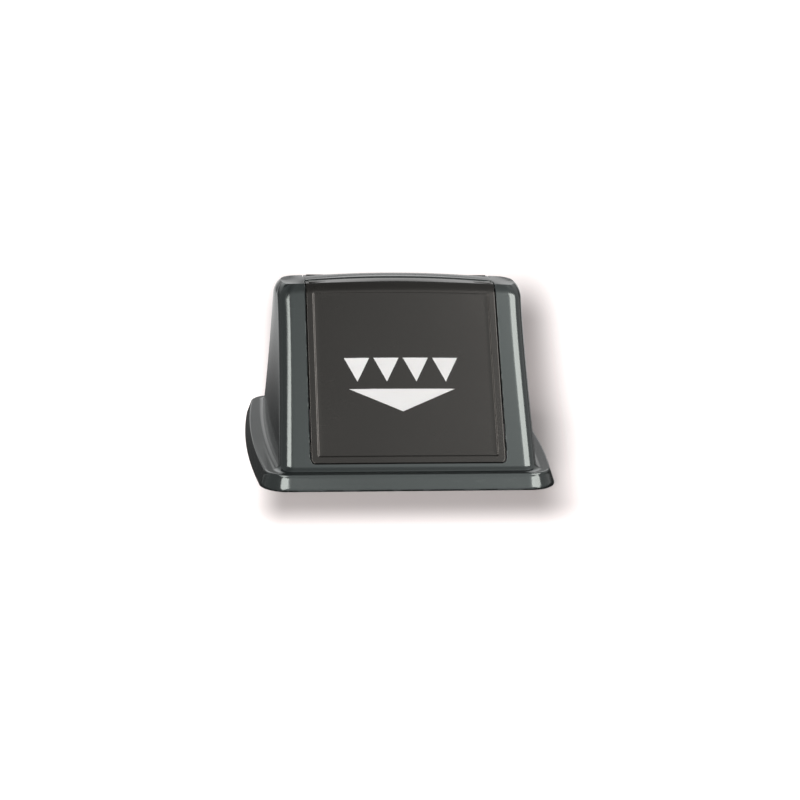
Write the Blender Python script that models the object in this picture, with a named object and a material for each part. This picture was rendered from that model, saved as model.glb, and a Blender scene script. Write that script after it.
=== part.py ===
"""Push-flap hood: the top of a square waste container.

A square moulded hood with a deep skirt stands over the container's rim. Its front and rear faces
lean back to a narrow ridge, and each face has a flap that hangs on a steel rod under that ridge.
A push swings a flap inwards, and two torsion springs close it again.

Frame: origin at the middle of the base, +X along the hinge rods, front face towards -Y, +Z up.
All sizes are in metres.
"""

import math

import bmesh
import bpy
import numpy as np
from mathutils import Matrix, Vector

MM = 0.001

# ---------------------------------------------------------------- driving dimensions
# Skirt and rim flange
BASE_WIDTH = 569 * MM          # across the skirt at its front and rear corners
BASE_DEPTH = 600 * MM          # front to rear across the skirt
SIDE_BOW = 18.5 * MM           # how far each side bows out between its corners
SKIRT_HEIGHT = 31.5 * MM
SKIRT_DRAFT = 8 * MM
SKIRT_CORNER = 54 * MM         # corner radius in plan
SKIRT_EDGE = 4 * MM            # rounding from the skirt to the flange
SKIRT_FOOT = 3 * MM            # straight stretch at the bottom of the skirt

# Hood
HOOD_HEIGHT = 363 * MM         # to the middle of the ridge
SIDE_LEDGE = 33.5 * MM         # from the skirt's side to the foot of a side wall
SIDE_TAPER = 13.5 * MM         # how far a side wall leans in from its foot to the ridge
HOOD_BOW = 13 * MM             # outward bow of a side wall
HOOD_CORNER = 27 * MM          # rounding between a sloping face and a side wall
ROOT_FILLET = 10 * MM          # concave fillet between flange and hood
LEDGE = 14 * MM                # flange left in front of a sloping face
RIDGE_HALF = 40.5 * MM         # ridge edge to ridge middle
RIDGE_RADIUS = 125 * MM        # front to rear rounding of the ridge
RIDGE_END_RADIUS = 33 * MM     # rounding from the ridge down to a side wall
BROW_HEIGHT = 18 * MM          # height over which a sloping face rounds into the ridge
BROW_SET_BACK = 5 * MM         # how far that rounding takes the face back
CROWN_RIDGE = 9.2 * MM         # drop of the ridge at a flap's side edge
CROWN_BROW = 3.4 * MM          # drop of the ridge's edge there
WALL = 3.5 * MM                # hood wall

# Flaps
STILE = 47.5 * MM              # hood face left beside a flap, measured at the ridge
FLAP_GAP = 1.8 * MM            # between a flap and the edge of its doorway
DOORWAY_SILL = 14 * MM         # face left below the doorway, measured up the slope
DOORWAY_CORNER = 10 * MM
DOORWAY_DEPTH = 25 * MM        # how far the doorway is cut in behind the face
BRIDGE_HALF = 18 * MM          # half of the roof bridge left between the doorways
FLAP_PLATE = 4 * MM
FLAP_RIM_DEPTH = 12 * MM       # depth of the flap's turned-in rim
FLAP_RIM_WALL = 3 * MM
PANEL_INSET = 13 * MM          # border around the sunk panel
PANEL_TOP_INSET = 20 * MM      # border below the ridge edge
PANEL_DEPTH = 1.5 * MM
RIB_WALL = 2.4 * MM            # stiffening ribs behind the panel
RIB_TOP = 30 * MM              # from a rib's top end to the ridge edge

# Hinges
AXIS_Y = 13 * MM               # rod axis, from the middle of the ridge
AXIS_DEPTH = 25 * MM           # below the middle of the ridge
ROD_RADIUS = 3 * MM
FIT = 0.3 * MM                 # clearance between pieces that touch
CURVE_GAP = 0.4 * MM           # extra clearance where a flat head lies under the curved roof
KNUCKLE_RADIUS = 7.5 * MM
KNUCKLE_LENGTH = 34 * MM
KNUCKLE_INSET = 6 * MM         # from a flap's side to its outer knuckles
BLOCK_GAP = 3 * MM             # from a flap's side to a hinge block
BLOCK_THICKNESS = 14 * MM
BLOCK_HALF_DEPTH = 22 * MM
BLOCK_BELOW_AXIS = 11 * MM
BLOCK_ABOVE_AXIS = 8 * MM
BLOCK_CHAMFER = 5 * MM
EAR_HEIGHT = 7 * MM
EAR_REACH = 38 * MM
SCREW_Y = 30 * MM              # block screws, from the middle of the ridge
SCREW_GRIP = 8 * MM            # thread length inside a roof boss
BOSS_RADIUS = 5.5 * MM
BUSH_RADIUS = 5 * MM
BUSH_FLANGE_RADIUS = 6.5 * MM
BUSH_FLANGE = 1.5 * MM
NUT_RADIUS = 6 * MM
NUT_THICKNESS = 1.6 * MM
NUT_CONE = 1.2 * MM            # how much smaller the nut's outer face is
ROD_OVERHANG = 4 * MM          # rod end past the hinge block

# Springs
SPRING_INSETS = (45 * MM, 75 * MM)  # from the flap's left and right side to a coil's left end
SPRING_TURNS = 6
SPRING_PITCH = 4.2 * MM
SPRING_RADIUS = 6.5 * MM       # to the middle of the wire
WIRE_RADIUS = 1 * MM
SPRING_LEG_DROP = 36 * MM      # how far below the axis the flap leg reaches

# Ridge cover, stop pads and screws
COVER_HALF = 17.5 * MM
COVER_THICKNESS = 1.5 * MM
COVER_SCREW_INSET = 100 * MM   # from the cover's end to its outer screws
COVER_BOSS_RADIUS = 3.6 * MM
COVER_HOLE_RADIUS = 4.1 * MM
PAD_LOW = 40 * MM              # along the slope from the foot of the face
PAD_EDGE = 0.6 * MM            # rounding of the rubber pads
PAD_LENGTH = 26 * MM
PAD_WIDTH = 11 * MM
PAD_THICKNESS = 3 * MM
TAB_THICKNESS = 3 * MM
SCREW_RADIUS = 2 * MM
SCREW_HEAD_RADIUS = 4 * MM
COVER_SCREW_RADIUS = 1.6 * MM
COVER_SCREW_HEAD_RADIUS = 5.5 * MM
SCREW_HEAD = 2.6 * MM

# Rim channel under the flange
RIB_RING_SIDE = 1 * MM         # locating rib, outside the foot of a side wall
RIB_RING_FRONT = 2 * MM        # locating rib, inside the foot of a sloping face
RIB_RING_WALL = 3 * MM
RIB_RING_FOOT = 4 * MM         # height of the rib's lower edge

# Helper solids
SINK = 1 * MM                  # how far joined bodies run into each other
CUT_CLEAR = 40 * MM            # how far cutters stand clear of the body they cut

# ---------------------------------------------------------------- derived values
HOOD_WIDTH = BASE_WIDTH - 2 * SIDE_LEDGE
HOOD_TOP_WIDTH = HOOD_WIDTH - 2 * SIDE_TAPER
FLAP_WIDTH = HOOD_TOP_WIDTH - 2 * STILE
FLAP_HALF = FLAP_WIDTH / 2
FLANGE_Z = SKIRT_HEIGHT
FACE_FOOT_Z = FLANGE_Z + 2 * MM
FACE_FOOT_Y = BASE_DEPTH / 2 - SKIRT_DRAFT - SKIRT_EDGE - LEDGE
RIDGE_EDGE_Z = HOOD_HEIGHT - (RIDGE_RADIUS - math.sqrt(RIDGE_RADIUS**2 - RIDGE_HALF**2))
FACE_RUN = FACE_FOOT_Y - RIDGE_HALF - BROW_SET_BACK
FACE_LENGTH = math.hypot(FACE_RUN, RIDGE_EDGE_Z - FACE_FOOT_Z)
UP_SLOPE = np.array([FACE_RUN, RIDGE_EDGE_Z - FACE_FOOT_Z]) / FACE_LENGTH
OUTWARD = np.array([-UP_SLOPE[1], UP_SLOPE[0]])
DOORWAY_HALF = FLAP_HALF + FLAP_GAP
AXIS_Z = HOOD_HEIGHT - AXIS_DEPTH
AXIS = Vector((0, -AXIS_Y, AXIS_Z))
KNUCKLE_STARTS = (-FLAP_HALF + KNUCKLE_INSET, -KNUCKLE_LENGTH / 2,
                  FLAP_HALF - KNUCKLE_INSET - KNUCKLE_LENGTH)
SPRING_STARTS = (-FLAP_HALF + SPRING_INSETS[0], FLAP_HALF - SPRING_INSETS[1])
COVER_SCREWS = (-FLAP_HALF + COVER_SCREW_INSET, 0, FLAP_HALF - COVER_SCREW_INSET)
BLOCK_X = FLAP_HALF + BLOCK_GAP
BLOCK_OUT = BLOCK_X + BLOCK_THICKNESS
BLOCK_MIDDLE = BLOCK_X + BLOCK_THICKNESS / 2
ROD_HALF = BLOCK_OUT + ROD_OVERHANG
EAR_TOP = AXIS_Z - BLOCK_BELOW_AXIS + EAR_HEIGHT
ROUND_SIDES = 16
STEPS_PER_TURN = 8
STATIONS = 8                   # steps across the width of the ridge and flaps
HALF_TURN = Matrix.Rotation(math.pi, 4, "Z")


# ---------------------------------------------------------------- small tools
def clear_scene():
    for obj in list(bpy.data.objects):
        bpy.data.objects.remove(obj, do_unlink=True)


def material(name, colour, roughness, metallic=0.0):
    mat = bpy.data.materials.new(name)
    mat.use_nodes = True
    shader = mat.node_tree.nodes["Principled BSDF"]
    shader.inputs["Base Color"].default_value = (*colour, 1)
    shader.inputs["Roughness"].default_value = roughness
    shader.inputs["Metallic"].default_value = metallic
    mat.diffuse_color = (*colour, 1)
    return mat


def new_object(name, bm, mat=None):
    """Turn a bmesh into an object in the scene, faces out and smooth where it is round."""
    bmesh.ops.recalc_face_normals(bm, faces=bm.faces)
    mesh = bpy.data.meshes.new(name)
    bm.to_mesh(mesh)
    bm.free()
    if mat:
        mesh.materials.append(mat)
    obj = bpy.data.objects.new(name, mesh)
    bpy.context.scene.collection.objects.link(obj)
    return obj


def smooth(obj, angle=35):
    obj.data.shade_smooth()
    obj.data.set_sharp_from_angle(angle=math.radians(angle))


def combine(obj, operand, operation):
    """Cut, add or intersect a helper, keep the result as plain mesh and drop the helper."""
    modifier = obj.modifiers.new(operation.lower(), "BOOLEAN")
    modifier.operation = operation
    modifier.solver = "EXACT"
    modifier.object = operand
    apply_modifiers(obj)
    bpy.data.objects.remove(operand, do_unlink=True)


def apply_modifiers(obj):
    bpy.context.view_layer.update()
    evaluated = obj.evaluated_get(bpy.context.evaluated_depsgraph_get())
    mesh = bpy.data.meshes.new_from_object(evaluated)
    obj.modifiers.clear()
    obj.data = mesh


def cylinder(bm, start, axis, length, radius, sides=ROUND_SIDES, top_radius=None):
    """A closed cylinder or cone from start along axis."""
    turn = Vector(axis).to_track_quat("Z", "X").to_matrix().to_4x4()
    place = Matrix.Translation(Vector(start)) @ turn @ Matrix.Translation((0, 0, length / 2))
    bmesh.ops.create_cone(bm, cap_ends=True, segments=sides, radius1=radius,
                          radius2=radius if top_radius is None else top_radius,
                          depth=length, matrix=place)


def box(bm, low, high):
    low, high = Vector(low), Vector(high)
    size = Matrix.Diagonal((*(high - low), 1))
    bmesh.ops.create_cube(bm, size=1, matrix=Matrix.Translation((low + high) / 2) @ size)


def prism(bm, outline, x_low, x_high, follow_crown=False):
    """Extrude a closed outline of (y, z) points along X."""
    verts = [bm.verts.new((x_low, y, z)) for y, z in outline]
    face = bm.faces.new(verts)
    moved = bmesh.ops.extrude_face_region(bm, geom=[face])["geom"]
    moved = [v for v in moved if isinstance(v, bmesh.types.BMVert)]
    bmesh.ops.translate(bm, vec=(x_high - x_low, 0, 0), verts=moved)
    if follow_crown:
        for vert in verts + moved:
            vert.co = crowned(*vert.co)
    return verts + moved


def rear_copy(obj, name):
    """The same piece turned half round, for the rear flap."""
    twin = bpy.data.objects.new(name, obj.data)
    bpy.context.scene.collection.objects.link(twin)
    twin.matrix_world = HALF_TURN @ obj.matrix_world
    return twin


def hinge_origin(obj):
    """Move the object's origin on to the hinge axis."""
    obj.data.transform(Matrix.Translation(-AXIS))
    obj.location = AXIS


# ---------------------------------------------------------------- the hood's surface
def crowned(x, y, z):
    """The ridge and the tops of the faces drop slightly towards the sides."""
    brow = CROWN_BROW * np.clip((z - FACE_FOOT_Z) / (RIDGE_EDGE_Z - FACE_FOOT_Z), 0, 1)
    ridge = (CROWN_RIDGE - CROWN_BROW) * np.clip((z - RIDGE_EDGE_Z) / (HOOD_HEIGHT - RIDGE_EDGE_Z), 0, 1)
    return x, y, z - (brow + ridge) * (x / FLAP_HALF) ** 2


def ridge_z(y):
    return HOOD_HEIGHT - RIDGE_RADIUS + math.sqrt(RIDGE_RADIUS**2 - y * y)


def face_half_depth(z):
    """Half depth of the hood at height z on a sloping face, rounded back at the brow."""
    straight = FACE_FOOT_Y - FACE_RUN * (z - FACE_FOOT_Z) / (RIDGE_EDGE_Z - FACE_FOOT_Z)
    brow = np.clip((z - (RIDGE_EDGE_Z - BROW_HEIGHT)) / BROW_HEIGHT, 0, 1)
    return straight - BROW_SET_BACK * brow**2


def hood_half_width(z):
    rise = (z - FACE_FOOT_Z) / (HOOD_HEIGHT - FACE_FOOT_Z)
    half = (HOOD_WIDTH + (HOOD_TOP_WIDTH - HOOD_WIDTH) * rise) / 2
    over = max(0.0, z - (HOOD_HEIGHT - RIDGE_END_RADIUS))
    return half - RIDGE_END_RADIUS + math.sqrt(max(0.0, RIDGE_END_RADIUS**2 - over**2))


def plan_loop(half_width, bow, half_depth, corner, side_steps=5, corner_steps=3):
    """Closed outline in plan: straight front and rear, bowed sides, round corners.

    The front and rear have the flap's stations, so that hood, flaps and cover bend at the same lines.
    """
    ys = -np.linspace(0, half_depth - corner, side_steps + 1)
    side = [(-(half_width + bow * (1 - (y / half_depth) ** 2)), y) for y in ys]
    edge_x = -side[-1][0] - corner
    turns = np.linspace(math.pi, 1.5 * math.pi, corner_steps + 1)[1:]
    arc = [(-edge_x + corner * math.cos(a), -half_depth + corner + corner * math.sin(a)) for a in turns]
    front = [(x, -half_depth) for x in np.linspace(-FLAP_HALF, FLAP_HALF, STATIONS + 1)]
    left = side + arc
    half = left + front + [(-x, y) for x, y in reversed(left)]
    return half + [(x, -y) for x, y in reversed(half[1:-1])]


def loft(bm, sections, cap_top=False):
    """Skin a stack of plan loops, each given as (loop, height)."""
    rings = []
    for loop, z in sections:
        rings.append([bm.verts.new(crowned(x, y, z)) for x, y in loop])
    count = len(rings[0])
    for low, high in zip(rings, rings[1:]):
        for i in range(count):
            j = (i + 1) % count
            bm.faces.new((low[i], low[j], high[j], high[i]))
    if cap_top:
        top = rings[-1]
        half = count // 2
        for i in range(half):
            quad = [top[i], top[i + 1], top[(count - i - 1) % count], top[(count - i) % count]]
            bm.faces.new(list(dict.fromkeys(quad)))
    return rings


def hood_sections():
    """Plan loops from the foot of the skirt up to the ridge."""
    half_w, half_d = BASE_WIDTH / 2, BASE_DEPTH / 2
    sections = []
    for inset, z in ((0, 0), (0, SKIRT_FOOT), (SKIRT_DRAFT, SKIRT_HEIGHT - SKIRT_EDGE)):
        sections.append((plan_loop(half_w - inset, SIDE_BOW, half_d - inset, SKIRT_CORNER - inset), z))
    for angle in np.radians((30, 60, 90)):
        inset = SKIRT_DRAFT + SKIRT_EDGE * (1 - math.cos(angle))
        z = SKIRT_HEIGHT - SKIRT_EDGE + SKIRT_EDGE * math.sin(angle)
        sections.append((plan_loop(half_w - inset, SIDE_BOW, half_d - inset, SKIRT_CORNER - inset), z))
    for angle in np.radians((90, 60, 30)):
        out = ROOT_FILLET * (1 - math.cos(angle))
        z = FLANGE_Z + ROOT_FILLET * (1 - math.sin(angle))
        half_d = face_half_depth(z) + out
        sections.append((plan_loop(hood_half_width(z) + out, HOOD_BOW, half_d, HOOD_CORNER + out), z))
    body = list(np.linspace(FLANGE_Z + ROOT_FILLET, HOOD_HEIGHT - RIDGE_END_RADIUS, 4))
    brow = list(np.linspace(HOOD_HEIGHT - RIDGE_END_RADIUS, RIDGE_EDGE_Z, 4)[1:])
    for z in body + brow:
        sections.append((plan_loop(hood_half_width(z), HOOD_BOW, face_half_depth(z), HOOD_CORNER), z))
    for y in np.linspace(RIDGE_HALF, 0, 6)[1:-1]:
        z = ridge_z(y)
        corner = min(HOOD_CORNER, 0.6 * y)
        sections.append((plan_loop(hood_half_width(z), HOOD_BOW, y, corner), z))
    return sections


def face_point(along, depth=0.0):
    """(y, z) on the front face: along is measured up the slope, depth goes inwards."""
    foot = np.array([-FACE_FOOT_Y, FACE_FOOT_Z])
    return tuple(foot + along * UP_SLOPE - depth * OUTWARD)


def doorway_cutter():
    """A prism that opens the face from its sill over the brow to the roof bridge."""
    bend = FACE_LENGTH - DOORWAY_DEPTH - CUT_CLEAR
    outline = [face_point(DOORWAY_SILL, -CUT_CLEAR), face_point(DOORWAY_SILL, DOORWAY_DEPTH),
               face_point(bend, DOORWAY_DEPTH), (-BRIDGE_HALF, HOOD_HEIGHT - CUT_CLEAR),
               (-BRIDGE_HALF, HOOD_HEIGHT + CUT_CLEAR),
               (-RIDGE_HALF - 2 * CUT_CLEAR, HOOD_HEIGHT + CUT_CLEAR)]
    bm = bmesh.new()
    prism(bm, outline, -DOORWAY_HALF, DOORWAY_HALF)
    round_sill_corners(bm, DOORWAY_CORNER)
    return new_object("doorway_cutter", bm)


def round_sill_corners(bm, radius, steps=3):
    """Round the two corners where a doorway or flap meets its sill."""
    bmesh.ops.recalc_face_normals(bm, faces=bm.faces)
    bm.edges.ensure_lookup_table()
    inward = Vector((0, -OUTWARD[0], -OUTWARD[1]))
    corners = []
    for edge in bm.edges:
        run = (edge.verts[1].co - edge.verts[0].co).normalized()
        if abs(run.dot(inward)) > 0.999 and edge.verts[0].co.z < HOOD_HEIGHT / 3:
            corners.append(edge)
    bmesh.ops.bevel(bm, geom=corners, offset=radius, segments=steps, affect="EDGES", profile=0.5)


def hood_shell(mat):
    bm = bmesh.new()
    loft(bm, hood_sections(), cap_top=True)
    hood = new_object("hood_shell", bm, mat)
    solidify = hood.modifiers.new("wall", "SOLIDIFY")
    solidify.thickness = WALL
    solidify.offset = -1
    solidify.use_even_offset = True
    apply_modifiers(hood)

    rib = bmesh.new()
    half_w, half_d = HOOD_WIDTH / 2 + RIB_RING_SIDE, FACE_FOOT_Y - RIB_RING_FRONT
    top = FLANGE_Z + WALL
    outer = plan_loop(half_w, HOOD_BOW, half_d, HOOD_CORNER)
    inner = plan_loop(half_w - RIB_RING_WALL, HOOD_BOW, half_d - RIB_RING_WALL,
                      HOOD_CORNER - RIB_RING_WALL)
    loft(rib, ((outer, RIB_RING_FOOT), (outer, top), (inner, top), (inner, RIB_RING_FOOT),
               (outer, RIB_RING_FOOT)))
    bmesh.ops.remove_doubles(rib, verts=rib.verts, dist=0.0001 * MM)
    combine(hood, new_object("locating_rib", rib), "UNION")

    for turned in (False, True):
        cutter = doorway_cutter()
        if turned:
            cutter.matrix_world = HALF_TURN
        combine(hood, cutter, "DIFFERENCE")

    bosses = bmesh.new()
    holes = bmesh.new()
    for x in (-BLOCK_MIDDLE, BLOCK_MIDDLE):
        for y in (-SCREW_Y, SCREW_Y):
            height = crowned(x, y, ridge_z(y))[2] - WALL + SINK - EAR_TOP - FIT
            cylinder(bosses, (x, y, EAR_TOP + FIT), (0, 0, 1), height, BOSS_RADIUS)
            cylinder(holes, (x, y, EAR_TOP - FIT), (0, 0, 1), SCREW_GRIP + 2 * MM, SCREW_RADIUS + FIT)
    combine(hood, new_object("roof_bosses", bosses), "UNION")
    for x in COVER_SCREWS:
        cylinder(holes, (x, 0, AXIS_Z), (0, 0, 1), 2 * AXIS_DEPTH, COVER_HOLE_RADIUS)
    combine(hood, new_object("hole_cutter", holes), "DIFFERENCE")
    smooth(hood)
    return hood


# ---------------------------------------------------------------- flaps
def flap_profile():
    """Outer (y, z) profile of the front flap, from its top edge over the brow to its sill edge."""
    top = [(-y, ridge_z(y)) for y in np.linspace(BRIDGE_HALF + FLAP_GAP, RIDGE_HALF, 3)]
    brow = np.linspace(RIDGE_EDGE_Z, RIDGE_EDGE_Z - BROW_HEIGHT, 4)[1:]
    low = face_point(DOORWAY_SILL + FLAP_GAP)[1]
    face = np.linspace(brow[-1], low, 4)[1:]
    return np.array(top + [(-face_half_depth(z), z) for z in (*brow, *face)])


def trimmed_profile(profile, depth, trim):
    """The profile moved inwards by depth, with both ends cut back by trim."""
    moved = offset_profile(profile, depth)
    first, last = profile[1] - profile[0], profile[-2] - profile[-1]
    moved[0] += trim * first / np.linalg.norm(first)
    moved[-1] += trim * last / np.linalg.norm(last)
    return moved


def offset_profile(profile, depth):
    """The profile moved inwards by depth, mitred at its bends."""
    runs = np.diff(profile, axis=0)
    runs /= np.linalg.norm(runs, axis=1)[:, None]
    normals = np.stack([-runs[:, 1], runs[:, 0]], axis=1)
    first, last = normals[:1], normals[-1:]
    before, after = np.vstack([first, normals]), np.vstack([normals, last])
    mitre = (before + after) / (1 + np.sum(before * after, axis=1))[:, None]
    return profile + depth * mitre


def swept_slab(bm, outer, inner, x_low, x_high, steps):
    """A slab between two profiles, swept along X and crowned with the hood."""
    loop = list(outer) + list(inner[::-1])
    rings = []
    for x in np.linspace(x_low, x_high, steps + 1):
        rings.append([bm.verts.new(crowned(x, y, z)) for y, z in loop])
    count = len(loop)
    for low, high in zip(rings, rings[1:]):
        for i in range(count):
            j = (i + 1) % count
            bm.faces.new((low[i], low[j], high[j], high[i]))
    half = len(outer)
    for ring in (rings[0], rings[-1]):
        for i in range(half - 1):
            bm.faces.new((ring[i], ring[i + 1], ring[count - 2 - i], ring[count - 1 - i]))
    return rings


def knuckle(bm, x_low, x_high):
    """A lug from the flap's top down to the rod: a round eye with a gusset that follows the plate."""
    angles = np.radians(np.linspace(-100, 100, 9))
    eye = [(-AXIS_Y + KNUCKLE_RADIUS * math.cos(a), AXIS_Z + KNUCKLE_RADIUS * math.sin(a)) for a in angles]
    gusset = offset_profile(flap_profile(), FLAP_PLATE - SINK)[1:6]
    for vert in prism(bm, eye + [tuple(point) for point in gusset], x_low, x_high):
        if vert.co.y < -AXIS_Y - KNUCKLE_RADIUS:
            vert.co = crowned(*vert.co)


def flap(mat):
    outer = flap_profile()
    bm = bmesh.new()
    swept_slab(bm, outer, offset_profile(outer, FLAP_RIM_DEPTH), -FLAP_HALF, FLAP_HALF, STATIONS)
    round_flap_corners(bm, DOORWAY_CORNER - FLAP_GAP)
    door = new_object("front_flap", bm, mat)

    pocket = bmesh.new()
    deep = FLAP_RIM_DEPTH + FLAP_RIM_WALL
    inner_half = FLAP_HALF - FLAP_RIM_WALL
    swept_slab(pocket, trimmed_profile(outer, FLAP_PLATE, FLAP_RIM_WALL),
               trimmed_profile(outer, deep, FLAP_RIM_WALL), -inner_half, inner_half, STATIONS)
    round_flap_corners(pocket, DOORWAY_CORNER - FLAP_GAP - FLAP_RIM_WALL)
    combine(door, new_object("pocket_cutter", pocket), "DIFFERENCE")

    face = np.array([face_point(FACE_LENGTH - PANEL_TOP_INSET),
                     face_point(FACE_LENGTH / 2),
                     face_point(DOORWAY_SILL + FLAP_GAP + PANEL_INSET)])
    panel = bmesh.new()
    panel_half = FLAP_HALF - PANEL_INSET
    swept_slab(panel, offset_profile(face, -FLAP_RIM_DEPTH), offset_profile(face, PANEL_DEPTH),
               -panel_half, panel_half, STATIONS)
    combine(door, new_object("panel_cutter", panel), "DIFFERENCE")

    ribs = bmesh.new()
    back = np.array([face_point(FACE_LENGTH - RIB_TOP), face_point(FACE_LENGTH / 2),
                     face_point(DOORWAY_SILL + FLAP_GAP + FLAP_RIM_WALL / 2)])
    for x in (-FLAP_HALF / 2, FLAP_HALF / 2):
        swept_slab(ribs, offset_profile(back, FLAP_PLATE - SINK),
                   offset_profile(back, FLAP_RIM_DEPTH - SINK), x - RIB_WALL / 2, x + RIB_WALL / 2, 1)
    tab_top = PAD_LOW + PAD_LENGTH
    tab_depth = WALL + FIT + PAD_THICKNESS + FIT
    outline = [face_point(PAD_LOW, tab_depth), face_point(tab_top, tab_depth),
               face_point(tab_top, tab_depth + TAB_THICKNESS), face_point(PAD_LOW, tab_depth + TAB_THICKNESS)]
    for side in (-1, 1):
        ends = sorted((side * (FLAP_HALF - FLAP_RIM_WALL / 2), side * (DOORWAY_HALF + PAD_WIDTH + SINK)))
        prism(ribs, outline, *ends, follow_crown=True)
    combine(door, new_object("flap_ribs", ribs), "UNION")

    lugs = bmesh.new()
    for x in KNUCKLE_STARTS:
        knuckle(lugs, x, x + KNUCKLE_LENGTH)
    combine(door, new_object("flap_knuckles", lugs), "UNION")
    bore = bmesh.new()
    cylinder(bore, (-FLAP_HALF, -AXIS_Y, AXIS_Z), (1, 0, 0), FLAP_WIDTH, ROD_RADIUS + FIT)
    combine(door, new_object("bore_cutter", bore), "DIFFERENCE")
    smooth(door)
    hinge_origin(door)
    return door


def round_flap_corners(bm, radius, steps=3):
    """Round the flap's two lower corners: the edges that run inwards at its sill and sides."""
    bmesh.ops.recalc_face_normals(bm, faces=bm.faces)
    side = max(abs(v.co.x) for v in bm.verts)
    sill = min(bm.verts, key=lambda v: v.co.z).co.z
    corners = []
    for edge in bm.edges:
        at_sill = all(v.co.z < sill + 2 * FLAP_RIM_DEPTH for v in edge.verts)
        at_side = all(abs(v.co.x) > side - 0.01 * MM for v in edge.verts)
        run = (edge.verts[1].co - edge.verts[0].co).normalized()
        if at_sill and at_side and abs(run.y * OUTWARD[0] + run.z * OUTWARD[1]) > 0.9:
            corners.append(edge)
    bmesh.ops.bevel(bm, geom=corners, offset=radius, segments=steps, affect="EDGES", profile=0.5)


def stop_pad(mat, side):
    """Rubber pad between the flap's tab and the inside of the hood wall."""
    bm = bmesh.new()
    near, far = WALL + FIT, WALL + FIT + PAD_THICKNESS
    low, high = PAD_LOW + SINK, PAD_LOW + PAD_LENGTH - SINK
    outline = [face_point(low, near), face_point(high, near), face_point(high, far), face_point(low, far)]
    ends = sorted((side * (DOORWAY_HALF + SINK), side * (DOORWAY_HALF + PAD_WIDTH)))
    prism(bm, outline, *ends, follow_crown=True)
    pad = new_object("front_stop_pad_" + ("left" if side < 0 else "right"), bm, mat)
    bevel = pad.modifiers.new("soft_edges", "BEVEL")
    bevel.width = PAD_EDGE
    bevel.segments = 2
    apply_modifiers(pad)
    hinge_origin(pad)
    return pad


# ---------------------------------------------------------------- hinge hardware
def hinge_rod(mat):
    bm = bmesh.new()
    cylinder(bm, (-ROD_HALF, -AXIS_Y, AXIS_Z), (1, 0, 0), 2 * ROD_HALF, ROD_RADIUS)
    rod = new_object("front_hinge_rod", bm, mat)
    smooth(rod)
    hinge_origin(rod)
    return rod


def hinge_block(mat, side):
    """Nylon block under the roof that carries the ends of both rods."""
    name = "hinge_block_" + ("left" if side < 0 else "right")
    low_x, high_x = sorted((side * BLOCK_X, side * BLOCK_OUT))
    low, high = AXIS_Z - BLOCK_BELOW_AXIS, AXIS_Z + BLOCK_ABOVE_AXIS
    half = [(EAR_REACH, low), (EAR_REACH, EAR_TOP), (BLOCK_HALF_DEPTH, EAR_TOP),
            (BLOCK_HALF_DEPTH, high - BLOCK_CHAMFER), (BLOCK_HALF_DEPTH - BLOCK_CHAMFER, high)]
    outline = half + [(-y, z) for y, z in reversed(half)]
    bm = bmesh.new()
    prism(bm, outline, low_x, high_x)
    block = new_object(name, bm, mat)
    holes = bmesh.new()
    for y in (-AXIS_Y, AXIS_Y):
        cylinder(holes, (low_x - SINK, y, AXIS_Z), (1, 0, 0), BLOCK_THICKNESS + 2 * SINK, BUSH_RADIUS + FIT)
    for y in (-SCREW_Y, SCREW_Y):
        hole = (side * BLOCK_MIDDLE, y, low - SINK)
        cylinder(holes, hole, (0, 0, 1), EAR_HEIGHT + 2 * SINK, SCREW_RADIUS + FIT)
    combine(block, new_object("block_holes", holes), "DIFFERENCE")
    smooth(block)
    return block


def bush(mat, side):
    """Flanged plain bush in the hinge block; its flange keeps the flap off the block."""
    bm = bmesh.new()
    inner = side * (BLOCK_X - FIT)
    axis = (side, 0, 0)
    cylinder(bm, (inner, -AXIS_Y, AXIS_Z), axis, BLOCK_THICKNESS + FIT, BUSH_RADIUS)
    name = "front_bush_" + ("left" if side < 0 else "right")
    sleeve = new_object(name, bm, mat)
    collar = bmesh.new()
    cylinder(collar, (inner - side * BUSH_FLANGE, -AXIS_Y, AXIS_Z), axis, BUSH_FLANGE, BUSH_FLANGE_RADIUS)
    combine(sleeve, new_object("collar", collar), "UNION")
    bore = bmesh.new()
    past = BUSH_FLANGE + SINK
    cylinder(bore, (inner - side * past, -AXIS_Y, AXIS_Z), axis, BLOCK_THICKNESS + 2 * past, ROD_RADIUS + FIT)
    combine(sleeve, new_object("bush_bore", bore), "DIFFERENCE")
    smooth(sleeve)
    return sleeve


def push_nut(mat, side):
    """Pressed cap ring on the rod's end, outside the block."""
    bm = bmesh.new()
    start = side * (BLOCK_OUT + FIT)
    cylinder(bm, (start, -AXIS_Y, AXIS_Z), (side, 0, 0), NUT_THICKNESS, NUT_RADIUS,
             top_radius=NUT_RADIUS - NUT_CONE)
    nut = new_object("front_push_nut_" + ("left" if side < 0 else "right"), bm, mat)
    bore = bmesh.new()
    cylinder(bore, (start - side * SINK, -AXIS_Y, AXIS_Z), (side, 0, 0), NUT_THICKNESS + 2 * SINK,
             ROD_RADIUS + FIT)
    combine(nut, new_object("nut_bore", bore), "DIFFERENCE")
    smooth(nut)
    hinge_origin(nut)
    return nut


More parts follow.
